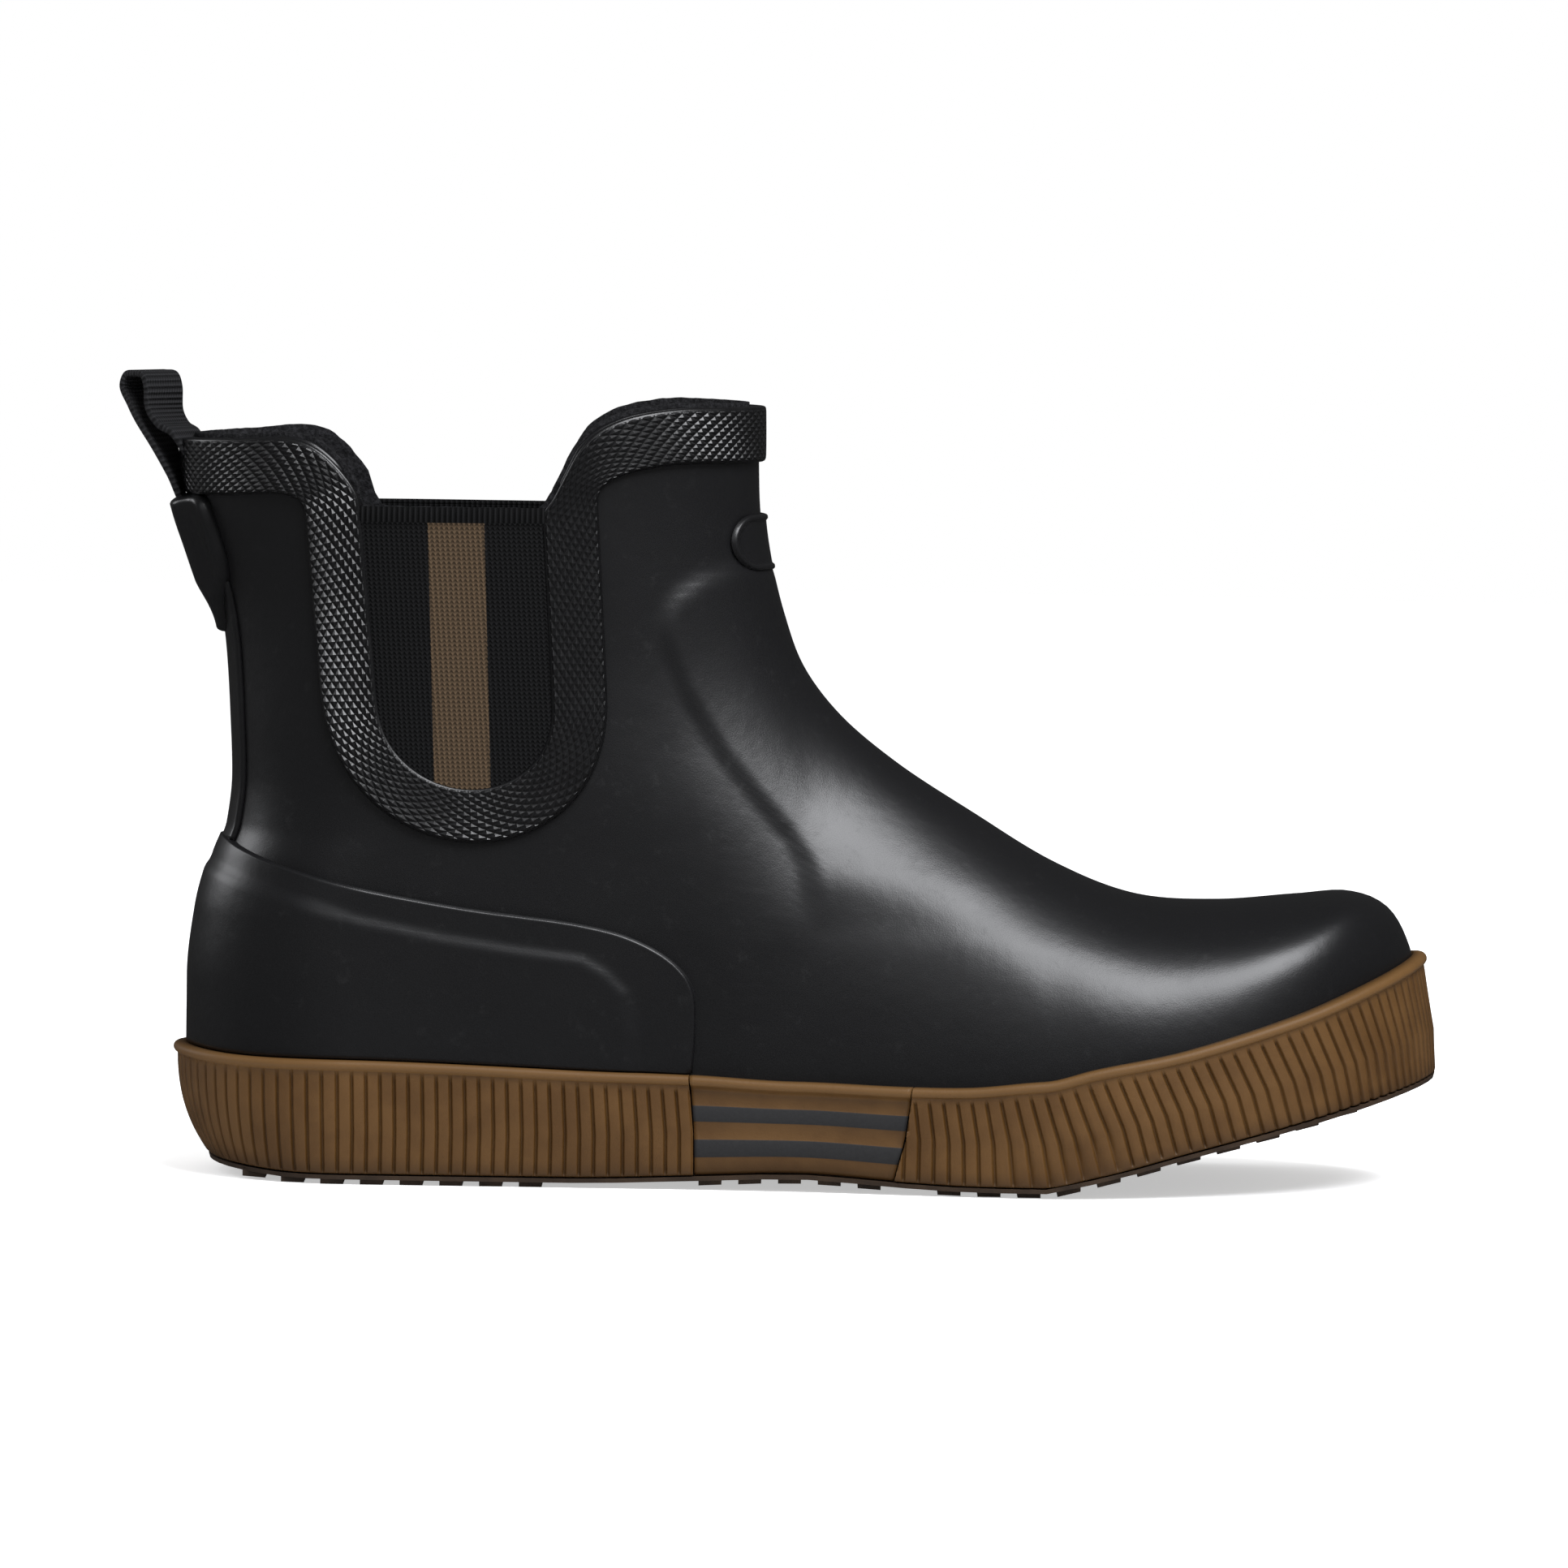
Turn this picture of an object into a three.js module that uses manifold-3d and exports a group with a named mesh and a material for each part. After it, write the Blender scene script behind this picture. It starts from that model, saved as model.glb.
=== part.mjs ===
// Ankle-high rubber boot for the right foot, with elastic side gores and a ribbed gum sole.
// Millimetres, +Z up. The toe points along +X, the outer side of the foot is -Y.
// The origin lies on the floor, at the middle of a tread block under the heel.
// All places below are measured from the back of the heel; the finished boot is then moved.
import * as THREE from 'three';
import Module from 'manifold-3d';

const wasm = await Module();
wasm.setup();

// Driving dimensions
const SOLE_LENGTH = 292; // heel back to toe tip, over the rubber side wall
const BALL_WIDTH = 92; // upper across the ball of the foot
const TOE_HEIGHT = 66.8; // top of the toe above the floor
const COLLAR_HEIGHT = 176.4; // front of the collar above the floor
const SHAFT_LENGTH = 133; // collar, front to back
const ANKLE_WIDTH = 70; // upper across the ankle
const COLLAR_WIDTH = 77; // upper across the collar
const SIDE_HEIGHT = 26; // sole's side wall, at the heel
const TOE_SPRING = 27; // sole edge above the floor, at the toe tip
const WALL = 2; // rubber of the upper
const GAP = 0.3; // between two pieces that touch
const EDGE_GAP = 0.8; // between the upper's lower edge and the sole's core
const SEAT_GAP = 0.55; // between the upper and the side wall that wraps it

// Sole
const CORE = 9; // height of the sole's core above the lower edge of the side wall
const CORE_SETBACK = 3.2; // side wall's thickness at its lower edge
const PLATE = 1; // outsole below the side wall
const PLATE_INSET = 1; // outsole's edge behind the side wall
const LUG = 1.5; // tread below the outsole
const LUG_LENGTH = 5.2;
const LUG_PITCH = 9;
const LUG_SPLIT = 3; // gap between two lugs in a row
const LUG_MARGIN = 0.4; // from a lug to the edge of the upper above it
const LUG_SINK = 0.5; // how far a lug's root reaches into the outsole
const RIB_PITCH = 3.2;
const RIB_DEPTH = 0.9;
const HEEL_RAND_END = 120; // where the ribbed heel wall stops, from the heel back
const TOE_RAND_START = 171; // where the ribbed toe wall starts
const LIP_DROP = 1.4; // chamfer on the rim of the side wall
const LIP_STEP = 0.9; // ribs lie this far behind the rim
const WAIST_STEP = 1.1; // the smooth waist lies this far behind the ribs
const END_GAP = 0.6; // between the ends of two side walls
const STRIPE_RELIEF = 0.4;
const INSOLE = 4;
const INSOLE_PLAY = 0.9; // room between the insole's edge and the upper

// Collar, gore and trimmings
const BAND_WIDTH = 12.6;
const BAND = 1.6; // thickness of the textured band
const GORE_DROP = 23.6; // top of the gore below the front of the collar
const GORE_BOTTOM = 89.9;
const GORE_WIDTH = 40.6;
const GORE_LEAN = 5; // the foot of the gore lies this far ahead of its top
const GORE_MIDDLE = 63.6; // from the heel back to the middle of the gore's top
const GORE_ROUND = 18; // height of its round lower end
const GORE_TUCK = 4; // elastic hidden behind the band
const ELASTIC = 1.6;
const COUNTER = 1.8;
const STRIP = 1.2;
const STRIP_HALF = 16;
const TAB_LIFT = 1.8; // underside of the tab over the upper
const TAB_FACE = 5.8; // outside of the tab over the upper
const TAB_HEIGHT = 32;
const TAB_HALF = 15;
const TAB_TAIL_HALF = 6;
const TAB_CORNER = 2;
const WEBBING_WIDTH = 13;
const WEBBING = 1.6;
const WEBBING_LIFT = 3; // middle of the webbing over the upper
const POCKET_ROOM = 0.9; // between the webbing and the tab over it
const RIM_ROOM = 2; // between the webbing and the collar's back edge below it
const WEBBING_INSIDE = 2.6; // middle of the webbing from the wall, inside the collar
const LOOP_RISE = 14; // pull loop above the collar's back edge
const LOOP_REACH = 14; // pull loop behind the collar's back edge
const BADGE = 1.6;
const BADGE_WIDTH = 33;
const BADGE_HEIGHT = 13;
const BADGE_DROP = 11.9; // top of the badge below the collar band

// How finely the surfaces are divided
const SIDE_STEPS = 20;
const SOLE_STEPS = 40;
const RINGS = 18;
const TRACE_STEPS = 400;

// Heights are shares of the toe's height up to 1, and of the shaft above it from 1 to 2.
const level = (rise) => (rise <= 1
  ? rise * TOE_HEIGHT
  : TOE_HEIGHT + (rise - 1) * (COLLAR_HEIGHT - TOE_HEIGHT));

// Front and top line of the upper, from the nose to above the collar
const RIDGE = [
  { along: 0.9700, rise: 0.818 },
  { along: 0.9517, rise: 0.951 },
  { along: 0.9229, rise: 1.000 },
  { along: 0.8815, rise: 0.990 },
  { along: 0.8182, rise: 0.969 },
  { along: 0.7545, rise: 0.987 },
  { along: 0.6904, rise: 1.055 },
  { along: 0.6264, rise: 1.151 },
  { along: 0.5623, rise: 1.255 },
  { along: 0.5171, rise: 1.354 },
  { along: 0.4880, rise: 1.456 },
  { along: 0.4729, rise: 1.561 },
  { along: 0.4616, rise: 1.679 },
  { along: 0.4562, rise: 1.777 },
  { along: 0.4545, rise: 1.882 },
  { along: 0.4538, rise: 2.030 },
];

// Back line of the upper, from the sole to above the collar
const BACK = [
  { rise: 0.00, along: 0.0199 },
  { rise: 0.67, along: 0.0192 },
  { rise: 0.90, along: 0.0247 },
  { rise: 1.05, along: 0.0356 },
  { rise: 1.12, along: 0.0452 },
  { rise: 1.22, along: 0.0490 },
  { rise: 1.36, along: 0.0469 },
  { rise: 1.48, along: 0.0438 },
  { rise: 1.58, along: 0.0384 },
  { rise: 1.69, along: 0.0260 },
  { rise: 1.78, along: 0.0144 },
  { rise: 1.85, along: 0.0082 },
  { rise: 2.03, along: 0.0030 },
];

// Half width of the foot as a share of the ball width, and how far its middle swings inwards
const PLAN = [
  { along: 0.000, half: 0.362, swing: 0.000 },
  { along: 0.137, half: 0.372, swing: 0.000 },
  { along: 0.274, half: 0.359, swing: -0.016 },
  { along: 0.394, half: 0.348, swing: -0.038 },
  { along: 0.479, half: 0.364, swing: -0.048 },
  { along: 0.582, half: 0.418, swing: -0.042 },
  { along: 0.685, half: 0.481, swing: -0.019 },
  { along: 0.760, half: 0.500, swing: 0.002 },
  { along: 0.870, half: 0.500, swing: 0.040 },
  { along: 0.982, half: 0.500, swing: 0.076 },
];

// Shaft: half width as a share of the ankle's, then of the collar's, and its end roundings
const SHAFT = [
  { rise: 0.90, width: 0.98, of: ANKLE_WIDTH, backRound: 0.27, frontRound: 0.62 },
  { rise: 1.30, width: 1.00, of: ANKLE_WIDTH, backRound: 0.33, frontRound: 0.60 },
  { rise: 1.70, width: 0.95, of: COLLAR_WIDTH, backRound: 0.38, frontRound: 0.54 },
  { rise: 2.03, width: 1.00, of: COLLAR_WIDTH, backRound: 0.41, frontRound: 0.50 },
];

// Sole: lower edge of the side wall as a share of the toe spring, and the height of the wall
const SOLE = [
  { along: 0.000, spring: 0.190, wall: 0.96 },
  { along: 0.050, spring: 0.130, wall: 0.97 },
  { along: 0.110, spring: 0.0925, wall: 1.00 },
  { along: 0.315, spring: 0.0925, wall: 0.935 },
  { along: 0.410, spring: 0.125, wall: 0.875 },
  { along: 0.490, spring: 0.160, wall: 0.80 },
  { along: 0.580, spring: 0.110, wall: 0.83 },
  { along: 0.630, spring: 0.0925, wall: 0.86 },
  { along: 0.680, spring: 0.0925, wall: 0.92 },
  { along: 0.720, spring: 0.180, wall: 0.94 },
  { along: 0.790, spring: 0.390, wall: 0.89 },
  { along: 0.870, spring: 0.620, wall: 0.93 },
  { along: 0.930, spring: 0.800, wall: 1.01 },
  { along: 0.982, spring: 0.960, wall: 1.09 },
];

// Side wall: how far its rim and its lower edge stand out from the upper
const FLARE = [
  { along: 0.000, rim: 5.4, foot: -3.4 },
  { along: 0.040, rim: 5.2, foot: -0.6 },
  { along: 0.110, rim: 4.6, foot: 1.6 },
  { along: 0.200, rim: 4.3, foot: 2.6 },
  { along: 0.500, rim: 4.2, foot: 3.0 },
  { along: 0.700, rim: 4.3, foot: 4.0 },
  { along: 0.900, rim: 4.2, foot: 4.2 },
  { along: 0.982, rim: 3.4, foot: 4.2 },
];

// Rings of the upper: where each starts at the back and where it meets the front line
const RING_HEIGHTS = [
  { front: 0.000, back: 0.00 },
  { front: 0.090, back: 0.09 },
  { front: 0.220, back: 0.19 },
  { front: 0.360, back: 0.30 },
  { front: 0.430, back: 0.37 },
  { front: 0.630, back: 0.53 },
  { front: 0.800, back: 0.71 },
  { front: 1.000, back: 1.00 },
];

const clamp = (value) => Math.min(1, Math.max(0, value));
const mix = (from, to, share) => from + (to - from) * share;
const ease = (share) => clamp(share) ** 2 * (3 - 2 * clamp(share));

// A smooth function through a table's rows, from one named column to another
function through(rows, from, to) {
  const steps = rows.slice(1).map((row, i) => (row[to] - rows[i][to]) / (row[from] - rows[i][from]));
  const slopes = rows.map((row, i) => {
    const before = steps[Math.max(0, i - 1)];
    const after = steps[Math.min(steps.length - 1, i)];
    return before * after > 0 ? (2 * before * after) / (before + after) : 0;
  });
  return (at) => {
    let i = 0;
    while (i < rows.length - 2 && at > rows[i + 1][from]) i += 1;
    const width = rows[i + 1][from] - rows[i][from];
    const t = clamp((at - rows[i][from]) / width);
    const rise = rows[i + 1][to] - rows[i][to];
    return rows[i][to] + rise * t * t * (3 - 2 * t)
      + width * t * (1 - t) * (slopes[i] * (1 - t) - slopes[i + 1] * t);
  };
}

// Straight stretches between many points, continued past both ends
function lookup(points, from, to) {
  return (at) => {
    let low = 0;
    let high = points.length - 1;
    while (high - low > 1) {
      const middle = (low + high) >> 1;
      if (points[middle][from] < at) low = middle;
      else high = middle;
    }
    const share = (at - points[low][from]) / (points[high][from] - points[low][from]);
    return mix(points[low][to], points[high][to], share);
  };
}

// Sole heights at a place along its length
const springAt = through(SOLE, 'along', 'spring');
const wallAt = through(SOLE, 'along', 'wall');
const soleEdge = (x) => springAt(x / SOLE_LENGTH) * TOE_SPRING;
const feather = (x) => soleEdge(x) + wallAt(x / SOLE_LENGTH) * SIDE_HEIGHT;
const upperEdge = (x) => soleEdge(x) + CORE + EDGE_GAP;

// Front line of the upper as one curve, read by its length, by x and by z
const NOSE = 0.981 * SOLE_LENGTH;
const ridgeCurve = new THREE.CatmullRomCurve3(
  [
    new THREE.Vector3(NOSE, 0, upperEdge(NOSE)),
    ...RIDGE.map((row) => new THREE.Vector3(row.along * SOLE_LENGTH, 0, level(row.rise))),
  ],
  false,
  'centripetal',
);
ridgeCurve.arcLengthDivisions = TRACE_STEPS;
const ridgeTrace = ridgeCurve.getSpacedPoints(TRACE_STEPS);
const topAt = lookup([...ridgeTrace].reverse(), 'x', 'z');
const frontAt = lookup(ridgeTrace.filter((point) => point.z > TOE_HEIGHT + 1 && point.x < 0.72 * SOLE_LENGTH), 'z', 'x');

const backRows = BACK.map((row) => ({ z: level(row.rise), x: row.along * SOLE_LENGTH }));
const backAt = through(backRows, 'z', 'x');
const halfOfFoot = through(PLAN, 'along', 'half');
const swingOfFoot = through(PLAN, 'along', 'swing');
const shaftRows = SHAFT.map((row) => ({
  z: level(row.rise),
  half: (row.width * row.of) / 2,
  back: row.backRound * SHAFT_LENGTH,
  front: row.frontRound * SHAFT_LENGTH,
}));
const halfOfShaft = through(shaftRows, 'z', 'half');
const backRound = through(shaftRows, 'z', 'back');
const frontRound = through(shaftRows, 'z', 'front');
const rimAt = through(FLARE, 'along', 'rim');
const footAt = through(FLARE, 'along', 'foot');
const backOfRing = through(RING_HEIGHTS, 'front', 'back');

// Roundness of the foot's sections, where its toe starts to close, and the belt below the rim
const ARCH_ROUNDNESS = 2.2;
const TOE_START = 0.755;
const BELT_DROP = 2;
const dome = (depth, roundness) => Math.sqrt(1 - (1 - clamp(depth)) ** roundness);

// Foremost place of the toe at a height
const noseTrace = ridgeTrace.filter((point) => point.x > 0.93 * SOLE_LENGTH);
const noseLookup = lookup(noseTrace, 'z', 'x');
const noseAt = (z) => noseLookup(Math.min(z, 0.975 * TOE_HEIGHT));

// Share of the leg in a section: 0 at the foot, 1 at the ankle and above
const legShare = (z) => ease((z / TOE_HEIGHT - 0.82) / 0.75);
const middle = (x, z) => swingOfFoot(x / SOLE_LENGTH) * BALL_WIDTH * (1 - legShare(z));

// The shortest of several depths below the surface, rounded where two are alike
const nearest = (...depths) => (
  depths.reduce((sum, depth) => sum + Math.max(1e-4, depth) ** -3, 0) ** (-1 / 3)
);

// Half width of the upper's outside at a place in its side view
function halfWidth(x, z) {
  const full = mix(halfOfFoot(x / SOLE_LENGTH) * BALL_WIDTH, halfOfShaft(z), legShare(z));
  const below = (topAt(x) - z) / Math.max(4, topAt(x) - feather(x) + BELT_DROP);
  const behindToe = (noseAt(z) - x) / (NOSE - TOE_START * SOLE_LENGTH);
  const shaftPart = ease((0.7 - x / SOLE_LENGTH) / 0.2);
  const behindShin = shaftPart > 0 ? (frontAt(z) - x) / (frontRound(z) * shaftPart) : Infinity;
  const depth = nearest(below, behindToe, behindShin);
  return full * dome(depth, ARCH_ROUNDNESS) * dome((x - backAt(z)) / backRound(z), 2);
}

// Where an edge that rises along the boot meets the upper's back or nose, found in a few steps
const meet = (line, height, start) => Array.from({ length: 6 }).reduce((x) => line(height(x)), start);
const LOW_BACK = meet(backAt, upperEdge, 0);
const RIM_BACK = meet(backAt, feather, 0);
const RIM_NOSE = meet(noseAt, feather, NOSE);

// Place on a ring in the side view: share 0 is the back line, share 1 is the front line.
// Low rings hug the sole, and rings further up run straight.
const RING_MARGIN = 9; // the last ring's back end below the end of the back line
const HUG = 0.32; // rings below this share follow the sole

function ringPlace(ring, share) {
  const end = ridgeCurve.getPointAt(ring);
  const highest = level(BACK[BACK.length - 1].rise) - RING_MARGIN;
  const start = mix(upperEdge(LOW_BACK), highest, backOfRing(ring));
  const first = backAt(start);
  const run = (1 - Math.cos(Math.PI * share)) / 2;
  const bend = run ** mix(3, 1, ring);
  const sole = upperEdge(mix(LOW_BACK, NOSE, run)) - mix(upperEdge(LOW_BACK), upperEdge(NOSE), bend);
  const hug = Math.max(0, 1 - ring / HUG) ** 2;
  return { x: mix(first, end.x, run), z: mix(start, end.z, bend) + hug * sole };
}

// Points of one ring, once round: nose, outer side, back, inner side
function ringPoints(place, steps) {
  const points = [];
  for (let i = 0; i < 2 * steps; i += 1) {
    const outer = i <= steps;
    const share = outer ? 1 - i / steps : (i - steps) / steps;
    const { x, z } = place(share);
    const tip = i === 0 || i === steps;
    const half = tip ? 0 : halfWidth(x, z);
    points.push(new THREE.Vector3(x, middle(x, z) + (outer ? -half : half), z));
  }
  return points;
}

// Outward direction at each point of a grid of rings, level along the lowest one
function gridNormals(grid) {
  return grid.map((ring, r) => ring.map((point, i) => {
    const around = ring[(i + 1) % ring.length].clone().sub(ring[(i + ring.length - 1) % ring.length]);
    const up = r === 0
      ? new THREE.Vector3(0, 0, 1)
      : grid[Math.min(grid.length - 1, r + 1)][i].clone().sub(grid[r - 1][i]);
    return up.cross(around).normalize();
  }));
}

const skinGrid = Array.from({ length: RINGS }, (_, r) => (
  ringPoints((share) => ringPlace(r / (RINGS - 1), share), SIDE_STEPS)
));
const skinNormals = gridNormals(skinGrid);
const offsetGrid = (lift) => skinGrid.map((ring, r) => ring.map((point, i) => (
  point.clone().addScaledVector(skinNormals[r][i], lift)
)));

// A closed solid from its corner points and its triangles, turned outwards
function solid(points, triangles) {
  let volume = 0;
  for (const [a, b, c] of triangles) {
    volume += points[a].dot(points[b].clone().cross(points[c]));
  }
  const faces = volume < 0 ? triangles.map(([a, b, c]) => [a, c, b]) : triangles;
  return new wasm.Manifold(new wasm.Mesh({
    numProp: 3,
    vertProperties: new Float32Array(points.flatMap((point) => point.toArray())),
    triVerts: new Uint32Array(faces.flat()),
  }));
}

// Joins rows of points, each row closed on itself. The rows close into a tube, or get end caps.
// From the row `turned` on, the squares are split along their other diagonal.
function loft(rows, caps, turned = rows.length) {
  const count = rows[0].length;
  const triangles = [];
  const last = caps ? rows.length - 1 : rows.length;
  for (let r = 0; r < last; r += 1) {
    const here = r * count;
    const next = ((r + 1) % rows.length) * count;
    for (let i = 0; i < count; i += 1) {
      const j = (i + 1) % count;
      if (r < turned) {
        triangles.push([here + i, here + j, next + j], [here + i, next + j, next + i]);
      } else {
        triangles.push([here + i, here + j, next + i], [here + j, next + j, next + i]);
      }
    }
  }
  if (caps) {
    const end = (rows.length - 1) * count;
    for (const [a, b, c] of caps) {
      triangles.push([a, c, b], [end + a, end + b, end + c]);
    }
  }
  return solid(rows.flat(), triangles);
}

// End cap of a ring that runs nose, outer side, back, inner side: rungs from side to side
function ladder(count) {
  const half = count / 2;
  const triangles = [[0, 1, count - 1]];
  for (let i = 1; i < half - 1; i += 1) {
    triangles.push([i, i + 1, count - i - 1], [i, count - i - 1, count - i]);
  }
  triangles.push([half - 1, half, half + 1]);
  return triangles;
}

// The upper's own wall between two distances from its outside, both faces split alike
const shell = (inside, outside) => (
  loft([...offsetGrid(outside), ...offsetGrid(inside).reverse()], null, RINGS)
);

// Triangles that fill a flat outline, each turning the same way as the outline does
function fill(flat) {
  const way = Math.sign(THREE.ShapeUtils.area(flat));
  return THREE.ShapeUtils.triangulateShape(flat, []).map(([a, b, c]) => (
    Math.sign(THREE.ShapeUtils.area([flat[a], flat[b], flat[c]])) === way ? [a, b, c] : [a, c, b]
  ));
}

// An outline of (first, z) points pushed through the boot, along y or along x
function prism(outline, direction = 'y', from = -BALL_WIDTH, to = BALL_WIDTH) {
  const rows = [from, to].map((depth) => outline.map(([first, z]) => (
    direction === 'y' ? new THREE.Vector3(first, depth, z) : new THREE.Vector3(depth, first, z)
  )));
  return loft(rows, fill(outline.map(([first, z]) => new THREE.Vector2(first, z))));
}

// Collar edge in the side view: back rim, dip at the gore, front rim
const COLLAR_EDGE = [
  { along: -0.20, drop: 0.087 },
  { along: 0.11, drop: 0.075 },
  { along: 0.19, drop: 0.068 },
  { along: 0.23, drop: 0.075 },
  { along: 0.27, drop: 0.105 },
  { along: 0.30, drop: 0.145 },
  { along: 0.345, drop: 0.209 },
  { along: 0.635, drop: 0.209 },
  { along: 0.665, drop: 0.150 },
  { along: 0.695, drop: 0.080 },
  { along: 0.735, drop: 0.038 },
  { along: 0.800, drop: 0.011 },
  { along: 0.880, drop: 0.000 },
  { along: 1.300, drop: 0.000 },
];
const collarRows = COLLAR_EDGE.map((row) => ({
  x: row.along * SHAFT_LENGTH,
  z: COLLAR_HEIGHT - row.drop * (COLLAR_HEIGHT - TOE_HEIGHT),
}));
const collarEdge = through(collarRows, 'x', 'z');
const COLLAR_STEPS = 44;
const COLLAR_FROM = -0.23 * SHAFT_LENGTH;
const COLLAR_TO = 1.25 * SHAFT_LENGTH;

// The collar's edge from the back to the front, lowered by what is asked
function collarLine(drop) {
  return Array.from({ length: COLLAR_STEPS + 1 }, (_, i) => {
    const x = mix(COLLAR_FROM, COLLAR_TO, i / COLLAR_STEPS);
    return [x, collarEdge(x) - drop];
  });
}

// Gore outline in the side view, wider by what is asked: straight sides and a round foot.
// It runs on upwards, past the collar.
const GORE_TOP = COLLAR_HEIGHT - GORE_DROP;
const GORE_NARROWING = 0.8; // each side, at the foot
const ABOVE_ALL = 1.3 * COLLAR_HEIGHT;

function goreOutline(grow) {
  const half = GORE_WIDTH / 2 + grow;
  const straight = GORE_BOTTOM + GORE_ROUND;
  const middleAt = (z) => GORE_MIDDLE + (GORE_LEAN * (GORE_TOP - z)) / (GORE_TOP - GORE_BOTTOM);
  const outline = [
    [middleAt(ABOVE_ALL) + half, ABOVE_ALL],
    [middleAt(ABOVE_ALL) - half, ABOVE_ALL],
  ];
  const steps = 12;
  for (let i = 0; i <= steps; i += 1) {
    const turn = Math.PI * (1 + i / steps);
    const z = straight + (GORE_ROUND + grow) * Math.sin(turn);
    outline.push([middleAt(z) + (half - GORE_NARROWING) * Math.cos(turn), z]);
  }
  return outline;
}

const gorePrism = (grow) => prism(goreOutline(grow));

// The two halves of the boot below the gore's top, for cutting one gore from the other
const sideBox = (from, to) => prism([
  [0, 0],
  [SOLE_LENGTH, 0],
  [SOLE_LENGTH, GORE_TOP],
  [0, GORE_TOP],
], 'y', from, to);

function buildUpper() {
  const above = prism([
    ...collarLine(0),
    [COLLAR_TO, ABOVE_ALL],
    [COLLAR_FROM, ABOVE_ALL],
  ]);
  return shell(-WALL, 0).subtract(above).subtract(gorePrism(GORE_TUCK + GAP));
}

function buildBand() {
  const rim = prism([...collarLine(0), ...collarLine(BAND_WIDTH).reverse()]);
  const below = prism([...collarLine(0), [COLLAR_TO, 0], [COLLAR_FROM, 0]]);
  const round = gorePrism(BAND_WIDTH).intersect(below);
  return shell(GAP, GAP + BAND).intersect(rim.add(round).subtract(gorePrism(0)));
}

const buildGore = (side) => shell(-GAP / 3 - ELASTIC, -GAP / 3)
  .intersect(gorePrism(GORE_TUCK))
  .intersect(side);

// Heel counter in the side view: its upper edge falls away towards the waist and rounds down.
// It is cut from the shell between two places ahead of and behind it.
const COUNTER_FROM = -0.1 * SOLE_LENGTH;
const COUNTER_TO = 0.45 * SOLE_LENGTH;
const COUNTER_EDGE = [
  { along: -0.10, height: 1.28 },
  { along: 0.036, height: 1.17 },
  { along: 0.059, height: 1.12 },
  { along: 0.123, height: 1.035 },
  { along: 0.224, height: 0.950 },
  { along: 0.324, height: 0.893 },
  { along: 0.362, height: 0.850 },
  { along: 0.394, height: 0.772 },
  { along: 0.4085, height: 0.690 },
  { along: 0.4115, height: 0.560 },
  { along: 0.4080, height: 0.330 },
];

function buildCounter() {
  const edge = new THREE.CatmullRomCurve3(COUNTER_EDGE.map((row) => (
    new THREE.Vector3(row.along * SOLE_LENGTH, 0, row.height * TOE_HEIGHT)
  )), false, 'centripetal').getSpacedPoints(26).map((point) => [point.x, point.z]);
  const foot = [];
  for (let i = 0; i <= 10; i += 1) {
    const x = mix(COUNTER_TO, COUNTER_FROM, i / 10);
    foot.push([x, feather(x) + GAP]);
  }
  const body = prism([...edge, [edge[edge.length - 1][0], 0], [COUNTER_FROM, 0]]);
  const aboveSole = prism([...foot, [COUNTER_FROM, COLLAR_HEIGHT], [COUNTER_TO, COLLAR_HEIGHT]]);
  return shell(GAP, GAP + COUNTER).intersect(body).intersect(aboveSole);
}

const stripTop = collarEdge(0) - BAND_WIDTH - GAP;
const counterTop = COUNTER_EDGE[1].height * TOE_HEIGHT + 2 * GAP;
const BACK_REACH = 0.25 * SOLE_LENGTH; // cuts for the pieces at the back end here

function buildStrip() {
  const face = prism([
    [-STRIP_HALF, counterTop],
    [STRIP_HALF, counterTop],
    [STRIP_HALF, stripTop],
    [-STRIP_HALF, stripTop],
  ], 'x', COLLAR_FROM, BACK_REACH);
  return shell(GAP, GAP + STRIP).intersect(face);
}

// Rubber tab at the back: a shield over the webbing's sewn end, with a tail below
function buildTab() {
  const top = stripTop - GAP;
  const shoulder = top - 0.6 * TAB_HEIGHT;
  const waist = top - 0.78 * TAB_HEIGHT;
  const right = [
    [TAB_HALF - TAB_CORNER, top],
    [TAB_HALF, top - TAB_CORNER],
    [TAB_HALF, shoulder],
    [0.62 * TAB_HALF, waist],
    [TAB_TAIL_HALF, top - TAB_HEIGHT + TAB_CORNER],
    [TAB_TAIL_HALF - TAB_CORNER, top - TAB_HEIGHT],
  ];
  const outline = [...right, ...right.map(([y, z]) => [-y, z]).reverse()];
  const pocketHalf = WEBBING_WIDTH / 2 + GAP;
  const pocket = prism([
    [-pocketHalf, webbingFoot() - GAP],
    [pocketHalf, webbingFoot() - GAP],
    [pocketHalf, top + GAP],
    [-pocketHalf, top + GAP],
  ], 'x', COLLAR_FROM, BACK_REACH);
  const hollow = shell(TAB_LIFT - 1, WEBBING_LIFT + WEBBING / 2 + POCKET_ROOM).intersect(pocket);
  return shell(TAB_LIFT, TAB_FACE)
    .intersect(prism(outline, 'x', COLLAR_FROM, BACK_REACH))
    .subtract(hollow);
}

// Where the webbing ends under the tab, and the middle line of its loop in the side view
const webbingFoot = () => stripTop - 0.5 * TAB_HEIGHT;

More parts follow.
